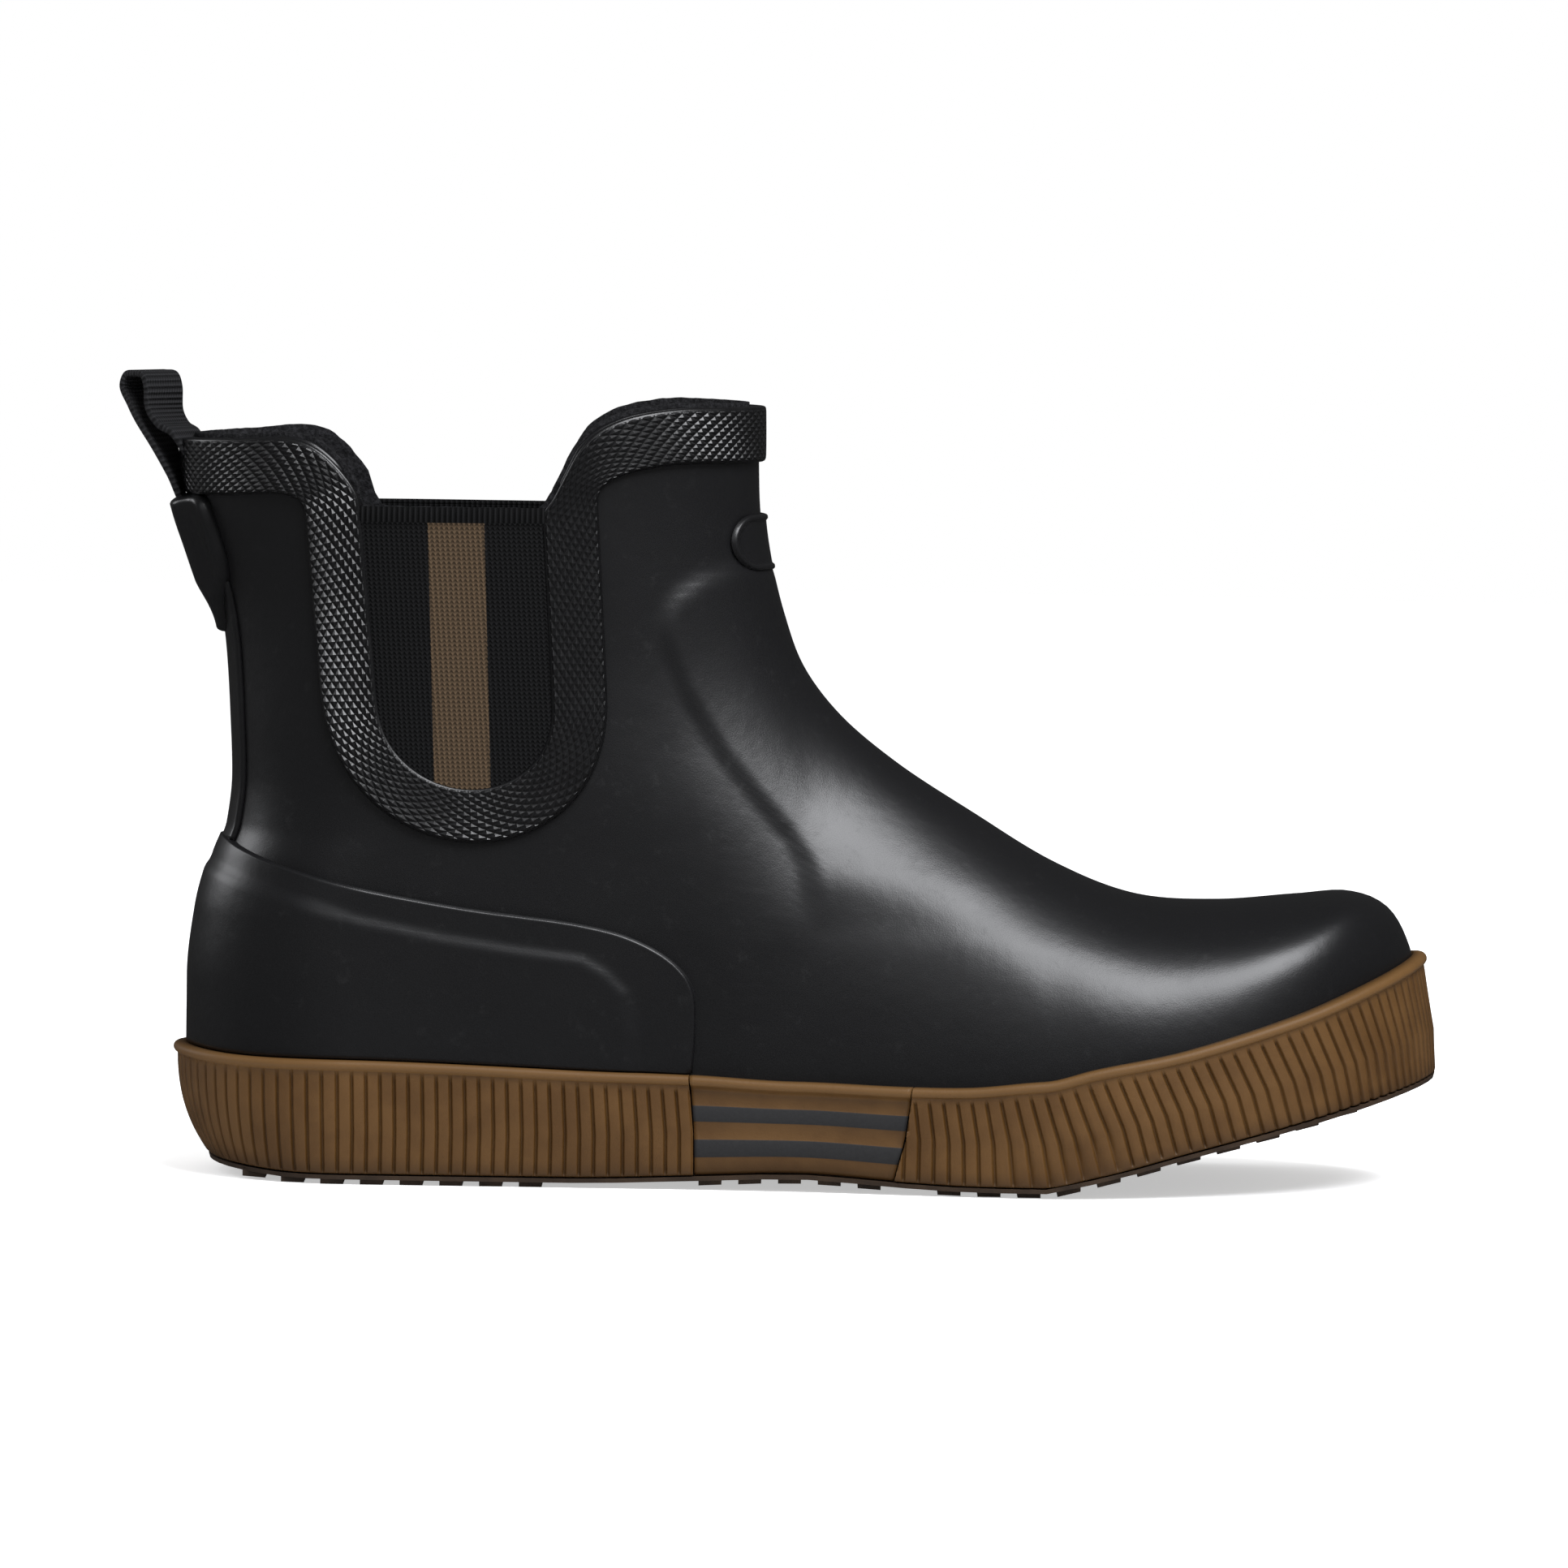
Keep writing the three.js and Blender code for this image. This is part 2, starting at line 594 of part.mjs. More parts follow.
function loopPath() {
  const rim = collarEdge(0);
  const back = backAt(rim);
  const crown = rim + LOOP_RISE;
  const path = [];
  for (let i = 0; i <= 5; i += 1) {
    const z = mix(webbingFoot(), rim - 0.57 * LOOP_RISE, i / 5);
    path.push([backAt(z) - WEBBING_LIFT, z]);
  }
  const overRim = rim + WEBBING / 2 + RIM_ROOM;
  path.push(
    [back - 0.45 * LOOP_REACH, rim - 0.03 * LOOP_RISE],
    [back - 0.77 * LOOP_REACH, rim + 0.50 * LOOP_RISE],
    [back - 1.00 * LOOP_REACH, rim + 0.82 * LOOP_RISE],
    [back - 0.90 * LOOP_REACH, crown],
    [back - 0.61 * LOOP_REACH, rim + 1.03 * LOOP_RISE],
    [back - 0.31 * LOOP_REACH, crown],
    [back - 0.19 * LOOP_REACH, rim + 0.82 * LOOP_RISE],
    [back - 0.16 * LOOP_REACH, rim + 0.45 * LOOP_RISE],
    [back + 0.04 * LOOP_REACH, overRim],
    [back + WALL + 0.16 * LOOP_REACH, rim + 0.07 * LOOP_RISE],
  );
  for (const drop of [0.3, 0.65, 1]) {
    const z = rim - drop * LOOP_RISE;
    path.push([backAt(z) + WALL + WEBBING_INSIDE, z]);
  }
  return path;
}

function buildLoop() {
  const line = new THREE.CatmullRomCurve3(
    loopPath().map(([x, z]) => new THREE.Vector3(x, 0, z)),
    false,
    'centripetal',
  );
  const steps = 36;
  const edges = [[], []];
  for (let i = 0; i <= steps; i += 1) {
    const point = line.getPointAt(i / steps);
    const ahead = line.getTangentAt(i / steps);
    edges[0].push([point.x - (ahead.z * WEBBING) / 2, point.z + (ahead.x * WEBBING) / 2]);
    edges[1].push([point.x + (ahead.z * WEBBING) / 2, point.z - (ahead.x * WEBBING) / 2]);
  }
  return prism([...edges[0], ...edges[1].reverse()], 'y', -WEBBING_WIDTH / 2, WEBBING_WIDTH / 2);
}

function buildBadge() {
  const outline = [];
  const corner = BADGE_HEIGHT / 2;
  const badgeMiddle = COLLAR_HEIGHT - BAND_WIDTH - BADGE_DROP - corner;
  for (let i = 0; i < 20; i += 1) {
    const turn = (Math.PI * 2 * (i + 0.5)) / 20;
    const shift = Math.cos(turn) > 0 ? BADGE_WIDTH / 2 - corner : corner - BADGE_WIDTH / 2;
    outline.push([shift + corner * Math.cos(turn), badgeMiddle + corner * Math.sin(turn)]);
  }
  return shell(GAP, GAP + BADGE).intersect(prism(outline, 'x', 0.3 * SOLE_LENGTH, 0.6 * SOLE_LENGTH));
}

// The upper's outline in plan, traced once round as the sole's walls follow it:
// each station holds its place at the rim of the sole and at the upper's lower edge.
function traceOutline() {
  const rimPlace = (share) => {
    const x = mix(RIM_BACK, RIM_NOSE, (1 - Math.cos(Math.PI * share)) / 2);
    return { x, z: feather(x) };
  };
  const lowPlace = (share) => {
    const x = mix(LOW_BACK, NOSE, (1 - Math.cos(Math.PI * share)) / 2);
    return { x, z: upperEdge(x) };
  };
  const steps = TRACE_STEPS / 2;
  const rim = ringPoints(rimPlace, steps);
  const low = ringPoints(lowPlace, steps);
  let length = 0;
  const stations = low.map((point, i) => {
    const next = low[(i + 1) % low.length];
    const previous = low[(i + low.length - 1) % low.length];
    const along = next.clone().sub(previous);
    const station = { s: length, rim: rim[i], low: point, out: new THREE.Vector3(-along.y, along.x, 0).normalize() };
    length += Math.hypot(next.x - point.x, next.y - point.y);
    return station;
  });
  if (stations[steps].out.x > 0) stations.forEach((station) => station.out.negate());
  return { stations, length };
}

const outline = traceOutline();

// A station at any distance along the outline
function stationAt(s) {
  const { stations, length } = outline;
  const at = ((s % length) + length) % length;
  let i = stations.length - 1;
  while (stations[i].s > at) i -= 1;
  const next = stations[(i + 1) % stations.length];
  const end = i === stations.length - 1 ? length : next.s;
  const share = (at - stations[i].s) / (end - stations[i].s);
  return {
    rim: stations[i].rim.clone().lerp(next.rim, share),
    low: stations[i].low.clone().lerp(next.low, share),
    out: stations[i].out.clone().lerp(next.out, share).normalize(),
  };
}

// Distance along the outline of a place x, on the outer or the inner side
function distanceAt(x, outer) {
  const { stations, length } = outline;
  const half = stations.length / 2;
  const i = outer
    ? stations.findIndex((station) => station.low.x <= x)
    : half + stations.slice(half).findIndex((station) => station.low.x >= x);
  return outer ? stations[i].s : Math.min(length, stations[i].s);
}

const flatOut = (point, out, distance, z) => new THREE.Vector3(
  point.x + out.x * distance,
  point.y + out.y * distance,
  z,
);

// Distance of the side wall's outside from the upper, at a share of its height from the rim
function flareAt(x, share) {
  const along = x / SOLE_LENGTH;
  return mix(rimAt(along), footAt(along), share ** 2.6);
}

const innerFoot = (x) => Math.min(SEAT_GAP, footAt(x / SOLE_LENGTH) - CORE_SETBACK);

// Section of the side wall at a station: up the inside, over the rim, down the outside.
// Each level is a share of the wall's height below the rim, and how far it stands back.
function wallSection(station, levels) {
  const { rim, low, out } = station;
  const bottom = soleEdge(low.x);
  const height = rim.z - bottom;
  const seat = (share) => {
    const z = rim.z - share * height;
    const blend = clamp((rim.z - z) / (rim.z - low.z));
    return flatOut(rim.clone().lerp(low, blend), out, SEAT_GAP, z);
  };
  const lowShare = (rim.z - low.z) / height;
  const section = [
    flatOut(low, out, innerFoot(low.x), bottom),
    seat(lowShare),
    seat(0),
    flatOut(rim, out, rimAt(low.x / SOLE_LENGTH) - LIP_DROP, rim.z),
  ];
  for (const { share, back } of levels) {
    const z = rim.z - share * height;
    const blend = clamp((rim.z - z) / (rim.z - low.z));
    const base = rim.clone().lerp(low, blend);
    section.push(flatOut(base, out, flareAt(low.x, share) - back, z));
  }
  return section;
}

// Triangles that close the cut end of a side wall
function sectionCap(station, levels) {
  const flat = wallSection(station, levels).map((point) => (
    new THREE.Vector2(point.clone().sub(station.low).dot(station.out), point.z)
  ));
  return fill(flat);
}

// A ribbed side wall between two distances along the outline
function buildRand(from, to) {
  const ribs = Math.round((to - from) / RIB_PITCH);
  const rows = [];
  const levelsAt = (groove) => [
    { share: 0.055, back: 0 },
    { share: 0.13, back: LIP_STEP + groove },
    { share: 1, back: LIP_STEP + groove },
  ];
  for (let i = 0; i <= 2 * ribs; i += 1) {
    const station = stationAt(mix(from, to, i / (2 * ribs)));
    rows.push(wallSection(station, levelsAt(i % 2 === 0 ? 0 : RIB_DEPTH)));
  }
  return loft(rows, sectionCap(stationAt(from), levelsAt(0)));
}

// The smooth waist with two raised stripes, on one side of the boot
const STRIPES = [
  { top: 0.30, bottom: 0.46 },
  { top: 0.64, bottom: 0.82 },
];

function buildWaist(from, to) {
  const step = LIP_STEP + WAIST_STEP;
  const levels = [{ share: 0.055, back: LIP_STEP }, { share: 0.12, back: step }];
  for (const { top, bottom } of STRIPES) {
    levels.push(
      { share: top, back: step },
      { share: top + 0.01, back: step - STRIPE_RELIEF },
      { share: bottom - 0.01, back: step - STRIPE_RELIEF },
      { share: bottom, back: step },
    );
  }
  levels.push({ share: 1, back: step });
  const columns = 8;
  const rows = Array.from({ length: columns + 1 }, (_, i) => (
    wallSection(stationAt(mix(from, to, i / columns)), levels)
  ));
  return loft(rows, sectionCap(stationAt(from), levels));
}

// Ring of the sole at a distance from the upper's lower edge
function soleRing(distance, height) {
  const { stations } = outline;
  return Array.from({ length: 2 * SOLE_STEPS }, (_, i) => {
    const { low, out } = stations[Math.round((i * stations.length) / (2 * SOLE_STEPS))];
    return flatOut(low, out, distance(low.x), height(low.x));
  });
}

const plateUnder = (x) => soleEdge(x) - GAP - PLATE;
const treadUnder = (x) => Math.max(0, soleEdge(x) - PLATE - LUG);

// One tread block, its underside following the sole
function lug(x0, x1, y0, y1) {
  const corner = (x, y, z) => new THREE.Vector3(x, y, z);
  const ring = (z0, z1) => [
    corner(x0, y0, z0),
    corner(x1, y0, z1),
    corner(x1, y1, z1),
    corner(x0, y1, z0),
  ];
  const rows = [
    ring(treadUnder(x0), treadUnder(x1)),
    ring(plateUnder(x0) + LUG_SINK, plateUnder(x1) + LUG_SINK),
  ];
  return loft(rows, [[0, 1, 2], [0, 2, 3]]);
}

// Rows of tread: where they start and stop along the sole, and how many blocks lie side by side
const TREAD = [
  { from: 0.060, to: 0.330, blocks: 3 },
  { from: 0.415, to: 0.570, blocks: 2 },
  { from: 0.600, to: 0.950, blocks: 3 },
];

function buildOutsole() {
  const foot = (x) => footAt(x / SOLE_LENGTH);
  const coreFoot = (x) => innerFoot(x) - SEAT_GAP;
  const rows = [
    soleRing(() => 0, (x) => soleEdge(x) + CORE),
    soleRing(coreFoot, soleEdge),
    soleRing(coreFoot, (x) => soleEdge(x) - GAP),
    soleRing((x) => foot(x) - PLATE_INSET, (x) => soleEdge(x) - GAP),
    soleRing((x) => foot(x) - PLATE_INSET - 0.3, plateUnder),
  ];
  let sole = loft(rows, ladder(2 * SOLE_STEPS));
  const edgeOf = (x, outer) => {
    const { low } = stationAt(distanceAt(x, outer));
    return low.y;
  };
  for (const { from, to, blocks } of TREAD) {
    const count = Math.floor(((to - from) * SOLE_LENGTH) / LUG_PITCH);
    for (let row = 0; row < count; row += 1) {
      const x0 = from * SOLE_LENGTH + row * LUG_PITCH;
      const x1 = x0 + LUG_LENGTH;
      const reach = (x) => Math.min(0, foot(x)) - LUG_MARGIN;
      const y0 = Math.max(edgeOf(x0, true) - reach(x0), edgeOf(x1, true) - reach(x1));
      const y1 = Math.min(edgeOf(x0, false) + reach(x0), edgeOf(x1, false) + reach(x1));
      const width = (y1 - y0 - (blocks - 1) * LUG_SPLIT) / blocks;
      for (let block = 0; block < blocks; block += 1) {
        const start = y0 + block * (width + LUG_SPLIT);
        sole = sole.add(lug(x0, x1, start, start + width));
      }
    }
  }
  return sole;
}

function buildInsole() {
  const inset = -WALL - INSOLE_PLAY;
  const bottom = (x) => soleEdge(x) + CORE + GAP;
  return loft([
    soleRing(() => inset, bottom),
    soleRing(() => inset, (x) => bottom(x) + INSOLE - 1),
    soleRing(() => inset - 1, (x) => bottom(x) + INSOLE),
  ], ladder(2 * SOLE_STEPS));
}

// Colours and finishes
const RUBBER = { color: 0x26272a, roughness: 0.45, metalness: 0 };
const TEXTURED = { color: 0x2b2c2e, roughness: 0.5, metalness: 0 };
const GUM = { color: 0x6f4f2a, roughness: 0.6, metalness: 0 };
const KNIT = { color: 0x17171a, roughness: 0.9, metalness: 0 };
const BOARD = { color: 0x3a3a3c, roughness: 0.95, metalness: 0 };

const boot = new THREE.Group();

function add(name, manifold, finish) {
  const mesh = manifold.getMesh();
  const geometry = new THREE.BufferGeometry();
  geometry.setAttribute('position', new THREE.BufferAttribute(new Float32Array(mesh.vertProperties), 3));
  geometry.setIndex(new THREE.BufferAttribute(new Uint32Array(mesh.triVerts), 1));
  const part = new THREE.Mesh(geometry, new THREE.MeshStandardMaterial(finish));
  part.name = name;
  boot.add(part);
}

const heelOuter = distanceAt(HEEL_RAND_END, true);
const heelInner = distanceAt(HEEL_RAND_END, false);
const toeOuter = distanceAt(TOE_RAND_START, true);
const toeInner = distanceAt(TOE_RAND_START, false);

add('outsole', buildOutsole(), GUM);
add('insole', buildInsole(), BOARD);
add('rand_heel', buildRand(heelOuter, heelInner), GUM);
add('rand_toe', buildRand(toeInner, outline.length + toeOuter), GUM);
add('rand_waist_outer', buildWaist(toeOuter + END_GAP, heelOuter - END_GAP), GUM);
add('rand_waist_inner', buildWaist(heelInner + END_GAP, toeInner - END_GAP), GUM);
add('upper', buildUpper(), RUBBER);
add('heel_counter', buildCounter(), RUBBER);
add('back_strip', buildStrip(), RUBBER);
add('collar_band', buildBand(), TEXTURED);
add('gore_outer', buildGore(sideBox(-BALL_WIDTH, 0)), KNIT);
add('gore_inner', buildGore(sideBox(0, BALL_WIDTH)), KNIT);
add('pull_tab', buildTab(), RUBBER);
add('pull_loop', buildLoop(), KNIT);
add('badge', buildBadge(), RUBBER);

// The origin is under the third heel block from the back
boot.position.x = -(TREAD[0].from * SOLE_LENGTH + 2 * LUG_PITCH + LUG_LENGTH / 2);

export default boot;
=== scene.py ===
"""Ankle-high rubber boot for the right foot: black upper, elastic side gores, ribbed gum sole."""

import math

import bpy
import numpy as np
from mathutils import Matrix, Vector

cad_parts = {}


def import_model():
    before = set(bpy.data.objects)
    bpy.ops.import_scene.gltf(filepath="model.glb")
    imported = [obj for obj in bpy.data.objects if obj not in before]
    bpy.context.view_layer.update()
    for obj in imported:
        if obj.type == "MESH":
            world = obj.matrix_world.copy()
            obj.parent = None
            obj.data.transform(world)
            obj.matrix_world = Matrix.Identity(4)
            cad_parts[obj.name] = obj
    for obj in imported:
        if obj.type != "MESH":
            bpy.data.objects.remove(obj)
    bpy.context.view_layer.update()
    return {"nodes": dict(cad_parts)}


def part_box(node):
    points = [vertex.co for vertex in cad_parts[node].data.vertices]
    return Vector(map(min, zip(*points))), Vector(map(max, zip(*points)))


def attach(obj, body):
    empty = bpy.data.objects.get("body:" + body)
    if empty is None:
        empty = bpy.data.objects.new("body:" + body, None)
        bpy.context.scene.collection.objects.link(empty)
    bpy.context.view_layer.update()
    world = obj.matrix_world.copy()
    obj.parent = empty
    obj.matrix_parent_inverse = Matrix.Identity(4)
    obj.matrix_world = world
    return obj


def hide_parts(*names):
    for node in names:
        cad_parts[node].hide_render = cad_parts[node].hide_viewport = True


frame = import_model()

# Camera. A long lens looks at the outer side from a little above, as in the photograph.
# Places are in metres, and the aim is the middle of the picture.
AIM = (0.10124, 0.0, 0.09001)
LENS = 271.0  # millimetres, on a sensor 36 mm wide
SENSOR = 36.0
DISTANCE = 2.7
FARTHEST = 20.0
LOOK_DOWN = math.radians(3.5)
ROLL = math.radians(0.75)
CAMERA_PLACE = (AIM[0], -DISTANCE * math.cos(LOOK_DOWN), AIM[2] + DISTANCE * math.sin(LOOK_DOWN))
bpy.ops.object.camera_add()
camera = bpy.context.object
camera.name = "camera"
camera.data.lens = LENS
camera.data.sensor_width = SENSOR
camera.data.clip_end = FARTHEST
camera.matrix_world = (
    Matrix.Translation(CAMERA_PLACE)
    @ Matrix.Rotation(math.pi / 2 - LOOK_DOWN, 4, "X")
    @ Matrix.Rotation(ROLL, 4, "Z")
)
bpy.context.scene.camera = camera


# Upper. One shell of black rubber, 2 mm thick, formed on the last: open at the collar, at
# both gore slots and underneath. A soft pad stands out over the instep.
# Places on the boot are in millimetres, x from the back of the heel and z from the floor.
HEEL_BACK = -38.12  # the heel's back in the frame, whose origin is under the heel
SOLE_LENGTH = 292.0
BALL_WIDTH = 92.0
TOE_HEIGHT = 66.8
COLLAR_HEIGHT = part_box("upper")[1].z * 1000
SHAFT_LENGTH = 133.0
ANKLE_WIDTH = 70.0
COLLAR_WIDTH = 77.0
SIDE_HEIGHT = 26.0
TOE_SPRING = 27.0
WALL = 2.0
CORE = 9.0  # the sole's core, whose top edge carries the upper with a small gap
EDGE_GAP = 0.8
NOSE = 0.981 * SOLE_LENGTH
BELT_DROP = 2.0
TOE_START = 0.755 * SOLE_LENGTH
TABLE_TOP = 2.03  # the highest rise in the tables, a little above the collar
RIDGE_STEPS = 400
ROUNDS = 12  # passes that settle a place which its own height moves
HALVINGS = 40

# Front line, back line, plan, shaft, sole, side wall, rings and collar of the last.
# Heights (rise) run from 0 to 1 up to the toe's height and from 1 to 2 up to the collar.
RIDGE = dict(
    along=(0.9700, 0.9517, 0.9229, 0.8815, 0.8182, 0.7545, 0.6904, 0.6264,
           0.5623, 0.5171, 0.4880, 0.4729, 0.4616, 0.4562, 0.4545, 0.4538),
    rise=(0.818, 0.951, 1.000, 0.990, 0.969, 0.987, 1.055, 1.151,
          1.255, 1.354, 1.456, 1.561, 1.679, 1.777, 1.882, 2.030),
)
BACK = dict(
    rise=(0.00, 0.67, 0.90, 1.05, 1.12, 1.22, 1.36, 1.48, 1.58, 1.69, 1.78, 1.85, 2.03),
    along=(0.0199, 0.0192, 0.0247, 0.0356, 0.0452, 0.0490, 0.0469, 0.0438,
           0.0384, 0.0260, 0.0144, 0.0082, 0.0030),
)
PLAN = dict(
    along=(0.000, 0.137, 0.274, 0.394, 0.479, 0.582, 0.685, 0.760, 0.870, 0.982),
    half=(0.362, 0.372, 0.359, 0.348, 0.364, 0.418, 0.481, 0.500, 0.500, 0.500),
    swing=(0.000, 0.000, -0.016, -0.038, -0.048, -0.042, -0.019, 0.002, 0.040, 0.076),
)
SHAFT = dict(
    rise=(0.90, 1.30, 1.70, 2.03),
    width=(0.98 * ANKLE_WIDTH, ANKLE_WIDTH, 0.95 * COLLAR_WIDTH, COLLAR_WIDTH),
    back=(0.27, 0.33, 0.38, 0.41),
    front=(0.62, 0.60, 0.54, 0.50),
)
SOLE = dict(
    along=(0.000, 0.050, 0.110, 0.315, 0.410, 0.490, 0.580,
           0.630, 0.680, 0.720, 0.790, 0.870, 0.930, 0.982),
    spring=(0.190, 0.130, 0.0925, 0.0925, 0.125, 0.160, 0.110,
            0.0925, 0.0925, 0.180, 0.390, 0.620, 0.800, 0.960),
    wall=(0.96, 0.97, 1.00, 0.935, 0.875, 0.80, 0.83,
          0.86, 0.92, 0.94, 0.89, 0.93, 1.01, 1.09),
)
RINGS = dict(
    front=(0.000, 0.090, 0.220, 0.360, 0.430, 0.630, 0.800, 1.000),
    back=(0.00, 0.09, 0.19, 0.30, 0.37, 0.53, 0.71, 1.00),
)
COLLAR = dict(
    along=(-0.20, 0.11, 0.19, 0.23, 0.27, 0.30, 0.345, 0.635,
           0.665, 0.695, 0.735, 0.800, 0.880, 1.300),
    drop=(0.087, 0.075, 0.068, 0.075, 0.105, 0.145, 0.209, 0.209,
          0.150, 0.080, 0.038, 0.011, 0.000, 0.000),
)


def mix(start, end, share):
    return start + (end - start) * share


def ease(share):
    share = np.clip(share, 0, 1)
    return share ** 2 * (3 - 2 * share)


def through(rows, key, column, key_size=1.0, column_size=1.0):
    """A smooth function through a table, from one of its columns to another."""
    keys = np.array(rows[key]) * key_size
    values = np.array(rows[column]) * column_size
    steps = np.diff(values) / np.diff(keys)
    before = np.concatenate([steps[:1], steps])
    after = np.concatenate([steps, steps[-1:]])
    turning = before * after <= 0
    slopes = np.where(turning, 0, 2 * before * after / np.where(turning, 1, before + after))

    def at(place):
        i = np.clip(np.searchsorted(keys, place) - 1, 0, len(keys) - 2)
        width = keys[i + 1] - keys[i]
        t = np.clip((place - keys[i]) / width, 0, 1)
        rise = values[i + 1] - values[i]
        bow = width * t * (1 - t) * (slopes[i] * (1 - t) - slopes[i + 1] * t)
        return values[i] + rise * t * t * (3 - 2 * t) + bow

    return at


def reading(keys, values):
    """Straight stretches between many points in rising order, continued past both ends."""
    def at(place):
        i = np.clip(np.searchsorted(keys, place) - 1, 0, len(keys) - 2)
        share = (place - keys[i]) / (keys[i + 1] - keys[i])
        return mix(values[i], values[i + 1], share)

    return at


def flowing(points, steps):
    """A rounded curve through a few points, at even distances along it."""
    points = np.array(points, float)
    ends = [2 * points[0] - points[1], *points, 2 * points[-1] - points[-2]]
    fine = []
    for a, b, c, d in zip(ends, ends[1:], ends[2:], ends[3:]):
        gaps = [np.linalg.norm(q - p) for p, q in ((a, b), (b, c), (c, d))]
        first, second, third = (max(1e-4, gap) ** 0.5 for gap in gaps)
        leaving = ((b - a) / first - (c - a) / (first + second) + (c - b) / second) * second
        arriving = ((c - b) / second - (d - b) / (second + third) + (d - c) / third) * second
        t = np.linspace(0, 1, 40, endpoint=False)[:, None]
        fine.append(b + leaving * t + (3 * (c - b) - 2 * leaving - arriving) * t ** 2
                    + (2 * (b - c) + leaving + arriving) * t ** 3)
    return evenly(np.vstack([*fine, points[-1:]]), steps)


def evenly(points, steps, distances=None):
    """The same line with its points at even distances, measured on itself or as given."""
    points = np.array(points, float)
    if distances is None:
        distances = points
    run = np.concatenate([[0], np.cumsum(np.linalg.norm(np.diff(distances, axis=0), axis=1))])
    at = np.linspace(0, run[-1], steps + 1)
    return np.stack([np.interp(at, run, column) for column in points.T], axis=1)


def level(rise):
    """Height in millimetres of a rise in the tables."""
    rise = np.array(rise, float)
    on_leg = TOE_HEIGHT + (rise - 1) * (COLLAR_HEIGHT - TOE_HEIGHT)
    return np.where(rise <= 1, rise * TOE_HEIGHT, on_leg)


wall_at = through(SOLE, "along", "wall", SOLE_LENGTH, SIDE_HEIGHT)
sole_edge = through(SOLE, "along", "spring", SOLE_LENGTH, TOE_SPRING)
half_of_foot = through(PLAN, "along", "half", SOLE_LENGTH, BALL_WIDTH)
swing_of_foot = through(PLAN, "along", "swing", SOLE_LENGTH, BALL_WIDTH)
ring_back = through(RINGS, "front", "back")
LEVELS = dict(
    back=level(BACK["rise"]),
    x=BACK["along"],
    shaft=level(SHAFT["rise"]),
    width=SHAFT["width"],
    round_back=SHAFT["back"],
    round_front=SHAFT["front"],
    collar=COLLAR["along"],
    edge=COLLAR_HEIGHT - np.array(COLLAR["drop"]) * (COLLAR_HEIGHT - TOE_HEIGHT),
)
back_at = through(LEVELS, "back", "x", 1, SOLE_LENGTH)
half_of_shaft = through(LEVELS, "shaft", "width", 1, 0.5)
back_round = through(LEVELS, "shaft", "round_back", 1, SHAFT_LENGTH)
front_round = through(LEVELS, "shaft", "round_front", 1, SHAFT_LENGTH)
collar_edge = through(LEVELS, "collar", "edge", SHAFT_LENGTH, 1)


def feather(x):
    """Height of the rim of the sole's side wall."""
    return sole_edge(x) + wall_at(x)


def upper_edge(x):
    return sole_edge(x) + CORE + EDGE_GAP


ridge_points = zip(np.array(RIDGE["along"]) * SOLE_LENGTH, level(RIDGE["rise"]))
ridge = flowing([(NOSE, float(upper_edge(NOSE))), *ridge_points], RIDGE_STEPS)
shin = ridge[(ridge[:, 1] > TOE_HEIGHT + 1) & (ridge[:, 0] < 0.72 * SOLE_LENGTH)]
tip = ridge[ridge[:, 0] > 0.93 * SOLE_LENGTH]
top_at = reading(ridge[::-1, 0], ridge[::-1, 1])
front_at = reading(shin[:, 1], shin[:, 0])
tip_at = reading(tip[:, 1], tip[:, 0])


def nose_at(z):
    return tip_at(np.minimum(z, 0.975 * TOE_HEIGHT))


def leg_share(z):
    return ease((z / TOE_HEIGHT - 0.82) / 0.75)


def middle(x, z):
    return swing_of_foot(x) * (1 - leg_share(z))


LEAST_DOME = 4.0
TOP_ROUNDNESS = 2.2


def domed(depth, roundness):
    """Squared half width of a rounded section, below zero outside it."""
    return 1 - np.abs(1 - np.minimum(depth, 1)) ** roundness


def form_squared(x, z):
    """Square of the plain form's half width at a place in its side view."""
    full = mix(half_of_foot(x), half_of_shaft(z), leg_share(z))

    top = top_at(x)
    dome = np.maximum(LEAST_DOME, top - feather(x) + BELT_DROP)
    depths = [(top - z) / dome, (nose_at(z) - x) / (NOSE - TOE_START)]
    shaft_part = ease((0.7 - x / SOLE_LENGTH) / 0.2)
    shin_depth = (front_at(z) - x) / (front_round(z) * np.maximum(shaft_part, 1e-6))
    depths.append(np.where(shaft_part > 0, shin_depth, 1e6))
    least = np.minimum.reduce(depths)
    rounded = sum(np.maximum(depth, 1e-4) ** -3.0 for depth in depths) ** (-1 / 3)
    depth = np.where(least < 1e-4, least, rounded)
    return full ** 2 * domed(depth, TOP_ROUNDNESS) * domed((x - back_at(z)) / back_round(z), 2)


# The bend of the ankle is smoothed over a disc, inside four edges of the side view. Each edge
# holds its place and the width over which the smoothing sets in.
ANKLE_DISC = 11.0
ANKLE_SQUARED = 520.0
ANKLE_BACK, ANKLE_FRONT = (98.0, 16.0), (190.0, 28.0)
ANKLE_LOW, ANKLE_HIGH = (46.0, 16.0), (152.0, 16.0)
DISC_RINGS = ((0.5, 6), (1.0, 12))


def past(place, edge):
    return ease((place - edge[0]) / edge[1])


def before(place, edge):
    return ease((edge[0] - place) / edge[1])


